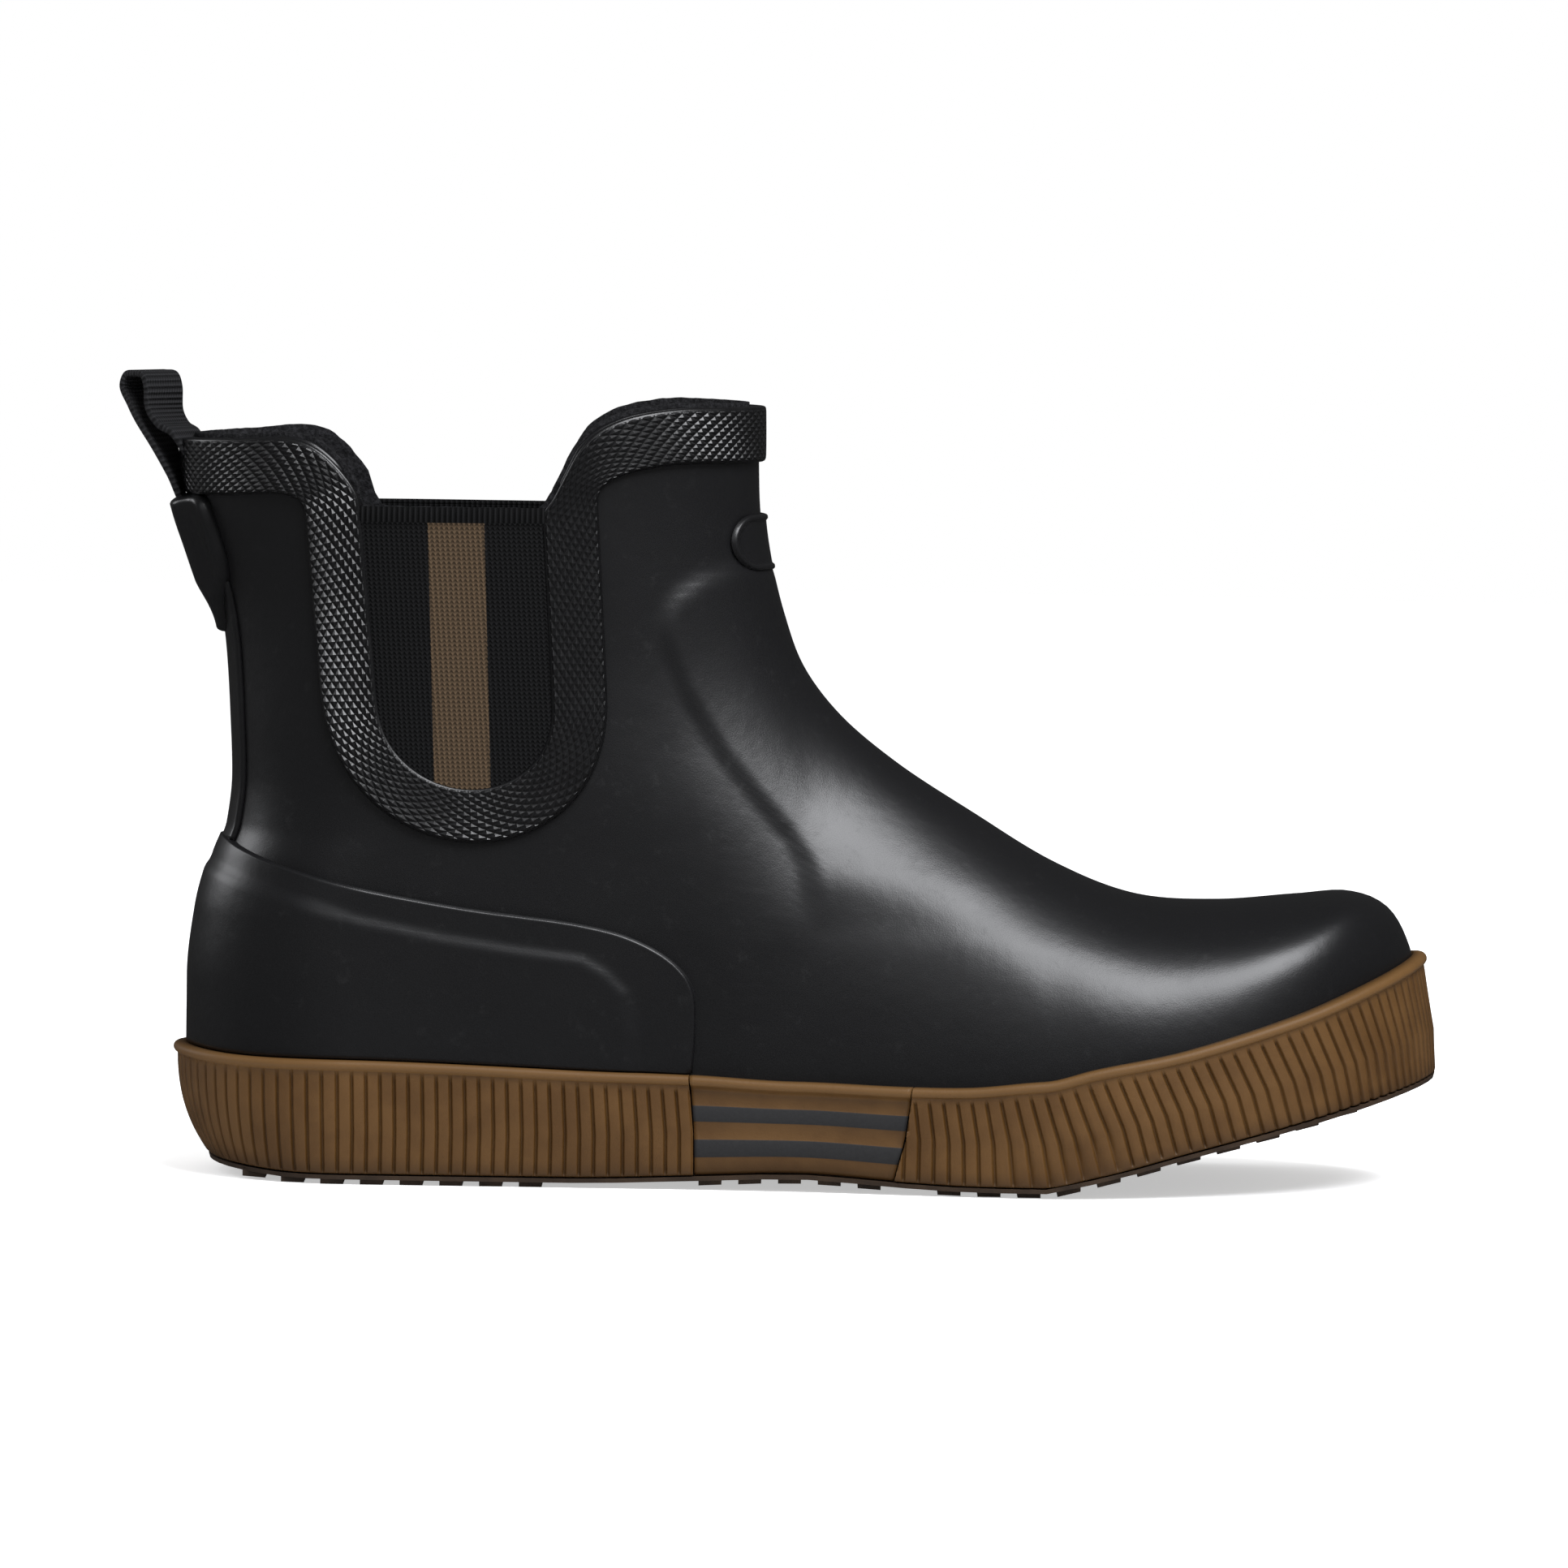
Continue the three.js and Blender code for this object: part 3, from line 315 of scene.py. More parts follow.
def half_squared(x, z):
    """The same, with the fold between the shin and the instep smoothed out."""
    here = form_squared(x, z)
    window = past(x, ANKLE_BACK) * before(x, ANKLE_FRONT)
    window = window * past(z, ANKLE_LOW) * before(z, ANKLE_HIGH)
    reach = ANKLE_DISC * window * ease(here / ANKLE_SQUARED)
    total, samples = here, 1
    for ring, count in DISC_RINGS:
        samples += count
        for turn in np.arange(count) * 2 * np.pi / count:
            sample_x = x + reach * ring * np.cos(turn)
            sample_z = z + reach * ring * np.sin(turn)
            total = total + form_squared(sample_x, sample_z)
    return total / samples


def on_last(x, z, side, lift=0.0):
    """Points lifted off the upper's surface. Side is 1 on the inner side, -1 on the outer."""
    x, z, side = np.broadcast_arrays(np.array(x, float), np.array(z, float), np.array(side, float))
    y = middle(x, z) + side * np.sqrt(np.maximum(half_squared(x, z), 0))
    step = 0.05

    def form(x, z):
        return (y - middle(x, z)) ** 2 - half_squared(x, z)

    slope = np.stack([
        (form(x + step, z) - form(x - step, z)) / (2 * step),
        2 * (y - middle(x, z)),
        (form(x, z + step) - form(x, z - step)) / (2 * step),
    ], axis=-1)
    out = slope / np.maximum(np.linalg.norm(slope, axis=-1, keepdims=True), 1e-9)
    return np.stack([x, y, z], axis=-1) + out * np.asarray(lift)[..., None]


def to_frame(points):
    """Millimetres from the heel's back to metres in the frame."""
    return (points + np.array([HEEL_BACK, 0, 0])) / 1000


def around(u):
    """Once round the boot, as shares: 0 at the back to 1 at the front, and which side."""
    return np.abs(1 - 2 * u), np.where(u < 0.5, -1.0, 1.0)


def run_of(share):
    return (1 - np.cos(np.pi * share)) / 2


low_back = 0.0
for _ in range(ROUNDS // 2):
    low_back = float(back_at(upper_edge(low_back)))


TOP_RING_DROP = 9.0
HUGGING = 0.32  # share of the rings that still follow the sole


def ring_place(ring, share):
    """Place on a ring of the last: low rings hug the sole, and higher ones run straight."""
    at = np.clip(ring, 0, 1) * (len(ridge) - 1)
    i = np.minimum(at.astype(int), len(ridge) - 2)
    end = mix(ridge[i], ridge[i + 1], (at - i)[..., None])
    start = mix(upper_edge(low_back), level(TABLE_TOP) - TOP_RING_DROP, ring_back(ring))
    run = run_of(share)
    bend = run ** mix(3, 1, ring)
    low = upper_edge(mix(low_back, NOSE, run)) - mix(upper_edge(low_back), upper_edge(NOSE), bend)
    hug = np.maximum(0, 1 - ring / HUGGING) ** 2
    return mix(back_at(start), end[..., 0], run), mix(start, end[..., 1], bend) + hug * low


def collar_ring(share):
    """The ring that each place on the collar's edge lies on."""
    low, high = np.zeros_like(share), np.ones_like(share)
    for _ in range(HALVINGS):
        ring = (low + high) / 2
        x, z = ring_place(ring, share)
        above = z > collar_edge(x)
        low, high = np.where(above, low, ring), np.where(above, ring, high)
    return (low + high) / 2


def raised(x, z, outline, height, softness):
    """Height of a soft-edged pad whose outline is given in the side view."""
    line = np.array(outline, float)
    here = np.stack([np.ravel(x), np.ravel(z)], axis=1)
    inside = np.zeros(len(here), bool)
    nearest = np.full(len(here), 1e9)
    for a, b in zip(line, np.roll(line, -1, axis=0)):
        way = b - a
        t = np.clip(((here - a) @ way) / (way @ way), 0, 1)
        nearest = np.minimum(nearest, np.linalg.norm(here - a - t[:, None] * way, axis=1))
        crosses = (a[1] > here[:, 1]) != (b[1] > here[:, 1])
        inside ^= crosses & (here[:, 0] < a[0] + (here[:, 1] - a[1]) * way[0] / (way[1] or 1e-9))
    signed = np.where(inside, nearest, -nearest).reshape(np.shape(x))
    return height * ease(0.5 + signed / softness)


def wrapped(name, columns, rows, place, sheet=None, close=False):
    """A flat grid whose corners are laid on the boot: place(u, v) gives millimetres."""
    bpy.ops.object.select_all(action="DESELECT")
    bpy.ops.mesh.primitive_grid_add(x_subdivisions=columns, y_subdivisions=rows, size=1)
    piece = bpy.context.object
    piece.name = piece.data.name = name
    flat = np.empty(len(piece.data.vertices) * 3)
    piece.data.vertices.foreach_get("co", flat)
    u, v = np.clip(np.round(flat.reshape(-1, 3)[:, :2] + 0.5, 6), 0, 1).T
    piece.data.vertices.foreach_set("co", to_frame(place(u, v)).ravel())
    if sheet:
        corners = np.empty(len(piece.data.loops), int)
        piece.data.loops.foreach_get("vertex_index", corners)
        where = np.stack(sheet(u, v), axis=1)[corners]
        piece.data.uv_layers[0].data.foreach_set("uv", where.ravel())
    piece.data.update()
    bpy.ops.object.mode_set(mode="EDIT")
    bpy.ops.mesh.select_all(action="SELECT")
    bpy.ops.mesh.remove_doubles(threshold=0.00001)
    bpy.ops.mesh.delete_loose()
    bpy.ops.mesh.select_all(action="SELECT")
    if close:
        bpy.ops.mesh.fill_holes(sides=0)
        bpy.ops.mesh.select_all(action="SELECT")
    bpy.ops.mesh.normals_make_consistent(inside=False)
    bpy.ops.object.mode_set(mode="OBJECT")
    bpy.ops.object.shade_smooth()
    return piece


def modified(piece, kind, **settings):
    """Adds a modifier, gives it its settings and applies it."""
    modifier = piece.modifiers.new(kind.lower(), kind)
    for name, value in settings.items():
        setattr(modifier, name, value)
    bpy.ops.object.select_all(action="DESELECT")
    bpy.context.view_layer.objects.active = piece
    piece.select_set(True)
    bpy.ops.object.modifier_apply(modifier=modifier.name)


def dressed(piece, material, slot, *nodes):
    """The piece takes its finish, rides on the boot and stands for its solids."""
    piece.data.materials.clear()
    piece.data.materials.append(material)
    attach(piece, "root")
    if nodes:
        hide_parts(*nodes)


# Gore slot in the side view: straight sides that lean a little, and a round foot
GORE_TOP = 152.8
GORE_FOOT = 89.9
GORE_HALF = 20.3
GORE_MIDDLE = 63.6
GORE_LEAN = 5.0
GORE_ROUND = 18.0
GORE_NARROWING = 0.8
GORE_STRAIGHT = GORE_FOOT + GORE_ROUND


def gore_middle(z):
    return GORE_MIDDLE + GORE_LEAN * (GORE_TOP - z) / (GORE_TOP - GORE_FOOT)


def gore_half(z, grow):
    """Half width of the gore slot, wider by grow on each side."""
    foot = np.sqrt(np.clip(1 - ((GORE_STRAIGHT - z) / (GORE_ROUND + grow)) ** 2, 0, 1))
    taper = GORE_NARROWING * np.clip((GORE_TOP - z) / (GORE_TOP - GORE_STRAIGHT), 0, 1)
    return (GORE_HALF + grow - taper) * np.where(z < GORE_STRAIGHT, foot, 1)


INSTEP_PAD = (
    (127.5, 140.5), (119.3, 137.4), (114.6, 134.2), (112.2, 130.2), (111.6, 126.5), (112.3, 123.0),
    (117.3, 111.1), (125.3, 98.5), (133.5, 88.3), (140.8, 80.3), (144.4, 74.1), (146.1, 65.3),
    (146.4, 50.0), (300.0, 50.0), (300.0, 140.5),
)
PAD_HEIGHT = 1.1
PAD_SOFTNESS = 4.6
PAD_LOW, PAD_HIGH, PAD_FRONT = (58.0, 14.0), (150.0, 14.0), (215.0, 60.0)
SLOT_GROW = 4.3
UPPER_COLUMNS = 260
UPPER_ROWS = 116


def instep_pad(x, z):
    fading = past(z, PAD_LOW) * before(z, PAD_HIGH) * before(x, PAD_FRONT)
    return fading * raised(x, z, INSTEP_PAD, PAD_HEIGHT, PAD_SOFTNESS)


def upper_place(u, v):
    share, side = around(u)
    x, z = ring_place(collar_ring(share) * v, share)
    return on_last(x, z, side, instep_pad(x, z))


upper = wrapped("boot_upper", UPPER_COLUMNS, UPPER_ROWS, upper_place)
bpy.ops.object.mode_set(mode="EDIT")
bpy.ops.mesh.select_all(action="DESELECT")
bpy.ops.object.mode_set(mode="OBJECT")
for face in upper.data.polygons:
    x = face.center.x * 1000 - HEEL_BACK
    z = face.center.z * 1000
    face.select = z > GORE_FOOT - SLOT_GROW and abs(x - gore_middle(z)) < gore_half(z, SLOT_GROW)
bpy.ops.object.mode_set(mode="EDIT")
bpy.ops.mesh.delete(type="FACE")
bpy.ops.object.mode_set(mode="OBJECT")
modified(upper, "SOLIDIFY", thickness=WALL / 1000, offset=-1, use_even_offset=False)


# Shader maths. A socket in this wrapper takes Python's operators, and each adds the Math node
# that it stands for. Other nodes come from paint.node(type, settings, inputs).
def math_node(operation, reflected=False):
    def method(self, *others):
        inputs = (*others, self) if reflected else (self, *others)
        settings = {"operation": operation}
        return self.paint.node("ShaderNodeMath", settings, dict(enumerate(inputs)))

    return method


class Value:
    def __init__(self, paint, socket):
        self.paint = paint
        self.socket = socket

    __add__ = __radd__ = math_node("ADD")
    __mul__ = __rmul__ = math_node("MULTIPLY")
    __sub__ = math_node("SUBTRACT")
    __rsub__ = math_node("SUBTRACT", reflected=True)
    __truediv__ = math_node("DIVIDE")
    abs = math_node("ABSOLUTE")
    sine = math_node("SINE")
    wave = math_node("PINGPONG")
    least = math_node("MINIMUM")
    most = math_node("MAXIMUM")

    def ramp(self, low, high, to_low=0.0, to_high=1.0):
        """This value from low to high, eased and laid on to_low to to_high."""
        settings = {"interpolation_type": "SMOOTHSTEP"}
        inputs = {0: self, 1: low, 2: high, 3: to_low, 4: to_high}
        return self.paint.node("ShaderNodeMapRange", settings, inputs)


class Paint:
    """A material under way: its nodes, its patterns and its one shader."""

    def __init__(self, name):
        self.material = bpy.data.materials.new(name)
        self.material.use_nodes = True
        self.tree = self.material.node_tree
        self.shader = self.tree.nodes["Principled BSDF"]

    def node(self, kind, settings=None, inputs=None, output=0):
        made = self.tree.nodes.new(kind)
        for name, value in (settings or {}).items():
            setattr(made, name, value)
        for name, value in (inputs or {}).items():
            if isinstance(value, Value):
                self.tree.links.new(value.socket, made.inputs[name])
            else:
                made.inputs[name].default_value = value
        return Value(self, made.outputs[output])

    def place(self):
        """Object coordinates in millimetres."""
        where = self.node("ShaderNodeTexCoord", output="Object")
        inputs = {0: where, "Scale": 1000.0}
        return self.node("ShaderNodeVectorMath", {"operation": "SCALE"}, inputs)

    def sheet(self):
        """The piece's own coordinates from its UV map: along it and across it."""
        where = self.node("ShaderNodeTexCoord", output="UV")
        return self.parts(where)[:2]

    def parts(self, vector):
        split = self.node("ShaderNodeSeparateXYZ", None, {0: vector}).socket.node
        return tuple(Value(self, split.outputs[axis]) for axis in "XYZ")

    def noise(self, vector, size, detail=2.0, roughness=0.5):
        """Cloudy noise whose lumps are about size millimetres across."""
        inputs = {"Vector": vector, "Scale": 1.0 / size, "Detail": detail, "Roughness": roughness}
        return self.node("ShaderNodeTexNoise", {"noise_dimensions": "3D"}, inputs)

    def mix(self, share, first, second):
        """A colour between two others, each an (r, g, b) or a colour socket."""
        first, second = ((*c, 1.0) if isinstance(c, tuple) else c for c in (first, second))
        inputs = {0: share, 6: first, 7: second}
        return self.node("ShaderNodeMix", {"data_type": "RGBA"}, inputs, output=2)

    def bump(self, height, depth, before=None):
        """Relief of a height map from 0 to 1 that stands depth millimetres high."""
        inputs = {"Height": height, "Distance": depth / 1000.0, "Strength": 1.0}
        if before:
            inputs["Normal"] = before
        return self.node("ShaderNodeBump", None, inputs)

    def finish(self, **sockets):
        """Sets the shader's sockets by their names, with _ for a space."""
        for name, value in sockets.items():
            socket = self.shader.inputs[name.replace("_", " ")]
            if isinstance(value, Value):
                self.tree.links.new(value.socket, socket)
            else:
                socket.default_value = (*value, 1.0) if isinstance(value, tuple) else value
        return self.material


# Smooth black rubber: a satin skin with a faint cloudiness, fine dust and small rubbed marks, whose
# paler colour is partly real wear and partly a painted mottled reflection
BLACK = (0.0052, 0.0052, 0.0057)
# paler grey of the dust and rubbed marks, partly real wear and partly a painted mottled reflection
WORN_AND_SHEEN = (0.012, 0.012, 0.0125)
paint = Paint("black rubber")
where = paint.place()
cloud = paint.noise(where, 34, 3)
speckle = paint.noise(where, 0.9, 3, 0.7)
marks = paint.noise(where, 4.5, 5, 0.75)
dust_wear_and_sheen = marks.ramp(0.56, 0.74) * 0.45 + speckle.ramp(0.62, 0.82) * 0.25
skin = paint.noise(where, 0.34, 2)
swell = paint.noise(where, 7, 2)
rubber = paint.finish(
    Base_Color=paint.mix(dust_wear_and_sheen * 0.6, BLACK, WORN_AND_SHEEN),
    Roughness=0.30 + cloud * 0.10 + dust_wear_and_sheen * 0.12,
    Normal=paint.bump(skin, 0.02, paint.bump(swell, 0.10)),
    Specular_IOR_Level=0.42,
)
dressed(upper, rubber, "black_rubber", "upper")

# Lining. A dark fleece glued inside the shell from the insole to the collar, where its pile
# peeks over the rim. It stops below the top of the gores.
LINING = 1.5
LINING_PEEK = 0.9
LINING_SINK = 2.5  # below the gores' hem
LINING_GAP = 0.15
PILE = 0.35


def lining_place(u, v):
    share, side = around(u)
    x, z = ring_place(collar_ring(share) * v, share)
    in_gore = ease((gore_half(GORE_TOP, 1.0) - np.abs(x - gore_middle(z))) / 2)
    z = z + v ** 6 * mix(LINING_PEEK, -LINING_SINK, in_gore * (z > GORE_STRAIGHT))
    pile = np.sin(u * 2200 + 3 * np.sin(v * 310)) * np.sin(v * 900 + 5 * np.sin(u * 190))
    return on_last(x, z, side, -WALL - LINING_GAP - PILE * pile ** 2)


lining = wrapped("fleece_lining", 300, 110, lining_place)
modified(lining, "SOLIDIFY", thickness=LINING / 1000, offset=-1)

paint = Paint("fleece")
where = paint.place()
pile = paint.noise(where, 1.1, 4, 0.7)
clumps = paint.noise(where, 5.0, 3)
# The pile is coloured by the same lumps as its relief: darker in the hollows, as painted shade.
fleece = paint.finish(
    Base_Color=paint.mix(pile.ramp(0.35, 0.75), (0.005, 0.005, 0.0055), (0.022, 0.022, 0.024)),
    Roughness=0.95,
    Normal=paint.bump(pile, 0.9, paint.bump(clumps, 0.8)),
    Specular_IOR_Level=0.1,
)
dressed(lining, fleece, "footbed")


# Elastic gores. Two panels of black elastic knit with one woven brown stripe, sewn into the
# slots behind the band, with a ribbed hem along the top edge.
ELASTIC = 1.6
ELASTIC_TUCK = 3.2
ELASTIC_SINK = 0.25
HEM = 2.6
HEM_HEIGHT = 0.35
STRIPE_HALF = 6.35
STRIPE_MIDDLE = 64.6
STRIPE_LEAN = 2.2
WALE = 1.15
COURSE = 0.98
HEM_RIB = 1.2

paint = Paint("elastic knit")
where = paint.place()
x, y, z = paint.parts(where)
along = x - HEEL_BACK
lean = STRIPE_LEAN / (GORE_TOP - GORE_FOOT)
stripe_at = along - STRIPE_MIDDLE + (z - GORE_TOP) * lean
fray = paint.noise(paint.node("ShaderNodeCombineXYZ", None, {2: z}), 0.8, 1) - 0.5
stripe = (stripe_at.abs() + fray * 0.5).ramp(STRIPE_HALF - 0.15, STRIPE_HALF + 0.15, 1.0, 0.0)
wale = ((along + z * 0.08) * (2 * math.pi / WALE)).sine()
course = (z * (2 * math.pi / COURSE) + wale * 1.7).sine()
stitch = (wale * 0.5 + 0.5) * 0.55 + (course * 0.5 + 0.5) * 0.45
hem = z.ramp(GORE_TOP - HEM - 0.1, GORE_TOP - HEM + 0.1)
hem_rib = (along * (2 * math.pi / HEM_RIB)).sine() * 0.5 + 0.5
height = stitch * (1 - hem) + hem_rib * hem
thread = paint.noise(where, 0.5, 2)
# Both yarn colours darken in the hollows of the stitch and hem relief, as painted shade.
dark = paint.mix(height * 0.8 + thread * 0.2, (0.0006, 0.0006, 0.0007), (0.0068, 0.0068, 0.0072))
brown = paint.mix(height * 0.75 + thread * 0.25, (0.010, 0.0068, 0.004), (0.078, 0.052, 0.031))
knit = paint.finish(
    Base_Color=paint.mix(stripe * (1 - hem), dark, brown),
    Roughness=0.86,
    Normal=paint.bump(height, 0.45),
    Specular_IOR_Level=0.08,
)


def gore_place(side):
    def place(u, v):
        z = mix(GORE_FOOT - ELASTIC_TUCK + 0.6, GORE_TOP, v)
        x = gore_middle(z) + (2 * u - 1) * gore_half(z, ELASTIC_TUCK)
        hem = HEM_HEIGHT * ease((z - GORE_TOP + HEM + 0.3) / 0.5)
        rounding = -0.5 * ease((z - GORE_TOP + 0.5) / 0.5)
        return on_last(x, z, side, hem + rounding - ELASTIC_SINK)

    return place


for side, node in ((-1, "gore_outer"), (1, "gore_inner")):
    gore = wrapped("elastic_" + node, 70, 130, gore_place(side))
    modified(gore, "SOLIDIFY", thickness=(ELASTIC - 0.2) / 1000, offset=-side)
    dressed(gore, knit, "elastic_knit", node)


# Collar band. A moulded rubber ribbon with small raised diamonds runs round the collar and,
# in one piece with it, down and round each gore.
BAND_WIDTH = 12.6
BAND_SECTION = (
    (0.25, -0.05), (0.0, 0.25), (0.0, 1.1), (0.12, 1.42), (0.45, 1.60), (1.2, 1.68), (3.0, 1.70),
    (5.0, 1.72), (7.6, 1.72), (9.6, 1.70), (11.2, 1.66), (11.9, 1.58), (12.4, 1.34), (12.6, 0.95),
    (12.6, 0.3), (12.4, -0.05), (8.0, -0.05), (4.0, -0.05), (0.25, -0.05),
)
BAND_STEPS = (34, 50, 44, 56, 50)
BEND_BACK = 40.5  # where the band's inner edge turns down at the gore, and up again
BEND_FRONT = 88.4
LINE_POINTS = 90


def evenly_on_last(points, steps):
    """A line of the side view at even distances, measured on the boot's surface."""
    return evenly(points, steps, on_last(points[:, 0], points[:, 1], 1))


def run_along(points):
    """Distance along a line at each of its points."""
    gaps = np.linalg.norm(np.diff(points, axis=0), axis=1)
    return np.concatenate([[0], np.cumsum(gaps)])


def nearest_row(share, rows):
    """Which of a number of rows lies at a share from 0 to 1."""
    return np.round(share * (rows - 1)).astype(int)


def band_line(grow, drop, bend_back, bend_front):
    """Side view of one edge of the band from the back to the front, in five stretches."""
    def rim(x):
        return np.stack([x, collar_edge(x) - drop], axis=1)

    def flank(z, way):
        return np.stack([gore_middle(z) + way * gore_half(z, grow), z], axis=1)

    back, front, meets = 1.0, 130.0, []
    for _ in range(ROUNDS):
        back = float(back_at(collar_edge(back) - drop))
        front = float(front_at(collar_edge(front) - drop))
    for way, x in ((-1, 35.0), (1, 92.0)):
        for _ in range(HALVINGS):
            z = collar_edge(x) - drop
            x = mix(x, float(gore_middle(z) + way * gore_half(z, grow)), 0.6)
        meets.append(x)
    bend_back, bend_front = bend_back or meets[0], bend_front or meets[1]
    fan = 1 - np.cos(np.linspace(0, np.pi / 2, LINE_POINTS))
    turn = np.pi * np.linspace(1, 2, LINE_POINTS)
    foot_half = GORE_HALF - GORE_NARROWING + grow
    foot_z = GORE_STRAIGHT + (GORE_ROUND + grow) * np.sin(turn)
    left = flank(np.linspace(collar_edge(meets[0]) - drop, GORE_STRAIGHT, LINE_POINTS), -1)
    right = flank(np.linspace(GORE_STRAIGHT, collar_edge(meets[1]) - drop, LINE_POINTS), 1)
    stretches = (
        rim(mix(back, bend_back, fan)),
        np.vstack([rim(np.linspace(bend_back, meets[0], 12)), left]),
        np.stack([gore_middle(foot_z) + foot_half * np.cos(turn), foot_z], axis=1),
        np.vstack([right, rim(np.linspace(meets[1], bend_front, 12))]),
        rim(mix(front, bend_front, fan)[::-1]),
    )
    line = []
    for stretch, steps in zip(stretches, BAND_STEPS):
        line.append(evenly_on_last(stretch, steps)[:-1])
    return np.vstack([*line, stretches[-1][-1:]])


def softened(line, passes):
    """The line with its corners rounded by averaging neighbours; its ends stay."""
    for _ in range(passes):
        line[1:-1] = (line[:-2] + 2 * line[1:-1] + line[2:]) / 4
    return line


def as_shares(line):
    """Places as shares of the shaft from its back to its front line, and heights."""
    x, z = line.T
    return np.stack([(x - back_at(z)) / (front_at(z) - back_at(z)), z], axis=1)


def from_shares(places):
    t, z = places[..., 0], places[..., 1]
    return mix(back_at(z), front_at(z), t), z


band_inside = as_shares(softened(band_line(0, 0, BEND_BACK, BEND_FRONT), 6))
band_outside = as_shares(softened(band_line(BAND_WIDTH, BAND_WIDTH, None, None), 16))
band_section = np.array(BAND_SECTION)
band_x, band_z = from_shares((band_inside + band_outside) / 2)
band_run = run_along(on_last(band_x, band_z, 1))


def band_place(u, v):
    share, side = around(u)
    column = nearest_row(share, len(band_inside))
    row = nearest_row(v, len(band_section))
    across = (band_section[row, 0] / BAND_WIDTH)[:, None]
    x, z = from_shares(mix(band_inside[column], band_outside[column], across))
    return on_last(x, z, side, band_section[row, 1])


def band_sheet(u, v):
    share, side = around(u)
    across = band_section[nearest_row(v, len(band_section)), 0]
    return band_run[nearest_row(share, len(band_inside))] * side, across


band = wrapped(
    "textured_band", 2 * (len(band_inside) - 1), len(BAND_SECTION) - 1, band_place, band_sheet
)

DIAMOND_LONG = 3.05
DIAMOND_WIDE = 1.75
PLAIN_BORDER = 0.6
paint = Paint("diamond rubber")
where = paint.place()
u, v = paint.sheet()
one = (u / DIAMOND_LONG + v / DIAMOND_WIDE).wave(0.5) * 2
two = (u / DIAMOND_LONG - v / DIAMOND_WIDE + 40.0).wave(0.5) * 2
peak = one.least(two)
border_at = BAND_WIDTH / 2 - PLAIN_BORDER
border = (v - BAND_WIDTH / 2).abs().ramp(border_at - 0.15, border_at + 0.15, 1.0, 0.0)
cloud = paint.noise(where, 6, 3)
height = peak.most(0.12) * border
# The band is painted darker in the valleys between the diamonds and on the low plain border, as
# painted shade.
diamond = paint.finish(
    Base_Color=paint.mix(height, (0.003, 0.003, 0.0033), (0.010, 0.010, 0.0106)),
    Roughness=0.24 + cloud * 0.24,
    Normal=paint.bump(height, 0.75, paint.bump(paint.noise(where, 0.4, 2), 0.04)),
    Specular_IOR_Level=0.5,
)
dressed(band, diamond, "textured_rubber", "collar_band")


# Heel counter. A thicker rubber cup round the heel, moulded over the upper, with a shallow
# raised panel inside its edge.
COUNTER = 1.7
COUNTER_EDGE = (
    (-8.0, 83.5), (10.5, 78.2), (17.2, 74.8), (35.9, 69.1), (65.4, 63.5), (94.6, 59.7),
    (105.7, 56.8), (115.0, 51.6), (119.3, 46.1), (120.2, 37.4), (119.1, 22.0),
)
COUNTER_PANEL = (
    (-20.0, 73.0), (10.0, 70.0), (26.7, 65.0), (42.7, 60.5), (63.0, 56.4), (79.9, 53.9),
    (94.2, 52.2), (99.4, 49.3), (104.4, 44.4), (106.2, 35.0), (106.5, 10.0), (-20.0, 10.0),
)
COUNTER_ROWS = (0.0, 0.4, 0.8, 1.2, 1.8, 2.6, *range(4, 44))
COUNTER_COLUMNS = 120
PANEL_HEIGHT = 0.75
PANEL_SOFTNESS = 3.2
SEAT = 0.3
UNDER = -0.05  # how far the undersides of the thin pieces sink into the upper

counter_line = flowing(COUNTER_EDGE, 500)
line_x, line_z = counter_line.T
counter_line = counter_line[(line_x > back_at(line_z)) & (line_z > feather(line_x) + SEAT)]
counter_top = evenly_on_last(counter_line, COUNTER_COLUMNS)
fan = 1 - np.cos(np.linspace(0, np.pi / 2, 200))
foot_x = mix(float(back_at(28.0)), counter_top[-1, 0], fan)
foot_line = np.stack([foot_x, feather(foot_x) + SEAT], axis=1)
counter_low = evenly_on_last(foot_line, COUNTER_COLUMNS)
for edge in (counter_top, counter_low):
    edge[:, 0] -= back_at(edge[:, 1])
    edge[0, 0] = 0
counter_rim = counter_top[::3].copy()
counter_rim[:, 0] += back_at(counter_rim[:, 1])
COUNTER_OUTLINE = ((-30.0, 90.0), *counter_rim, (counter_rim[-1, 0], -10.0), (-30.0, -10.0))


def counter_place(u, v):
    share, side = around(u)
    column = nearest_row(share, COUNTER_COLUMNS + 1)
    row = nearest_row(v, 2 * len(COUNTER_ROWS))
    outer = row < len(COUNTER_ROWS)
    step = np.where(outer, row, 2 * len(COUNTER_ROWS) - 1 - row)
    below = np.array(COUNTER_ROWS, float)[step] / COUNTER_ROWS[-1]
    top, low = counter_top[column], counter_low[column]
    offset, z = mix(top, low, below[:, None]).T
    x = back_at(z) + offset
    edge = np.sqrt(np.clip(2 * raised(x, z, COUNTER_OUTLINE, 1.0, 1.0) - 1, 0, 1))
    panel = raised(x, z, COUNTER_PANEL, PANEL_HEIGHT, PANEL_SOFTNESS)
    return on_last(x, z, side, np.where(outer, COUNTER * edge + panel, UNDER))


counter = wrapped(
    "heel_counter_cup", 2 * COUNTER_COLUMNS, 2 * len(COUNTER_ROWS) - 1, counter_place, close=True
)
dressed(counter, rubber, "black_rubber", "heel_counter")


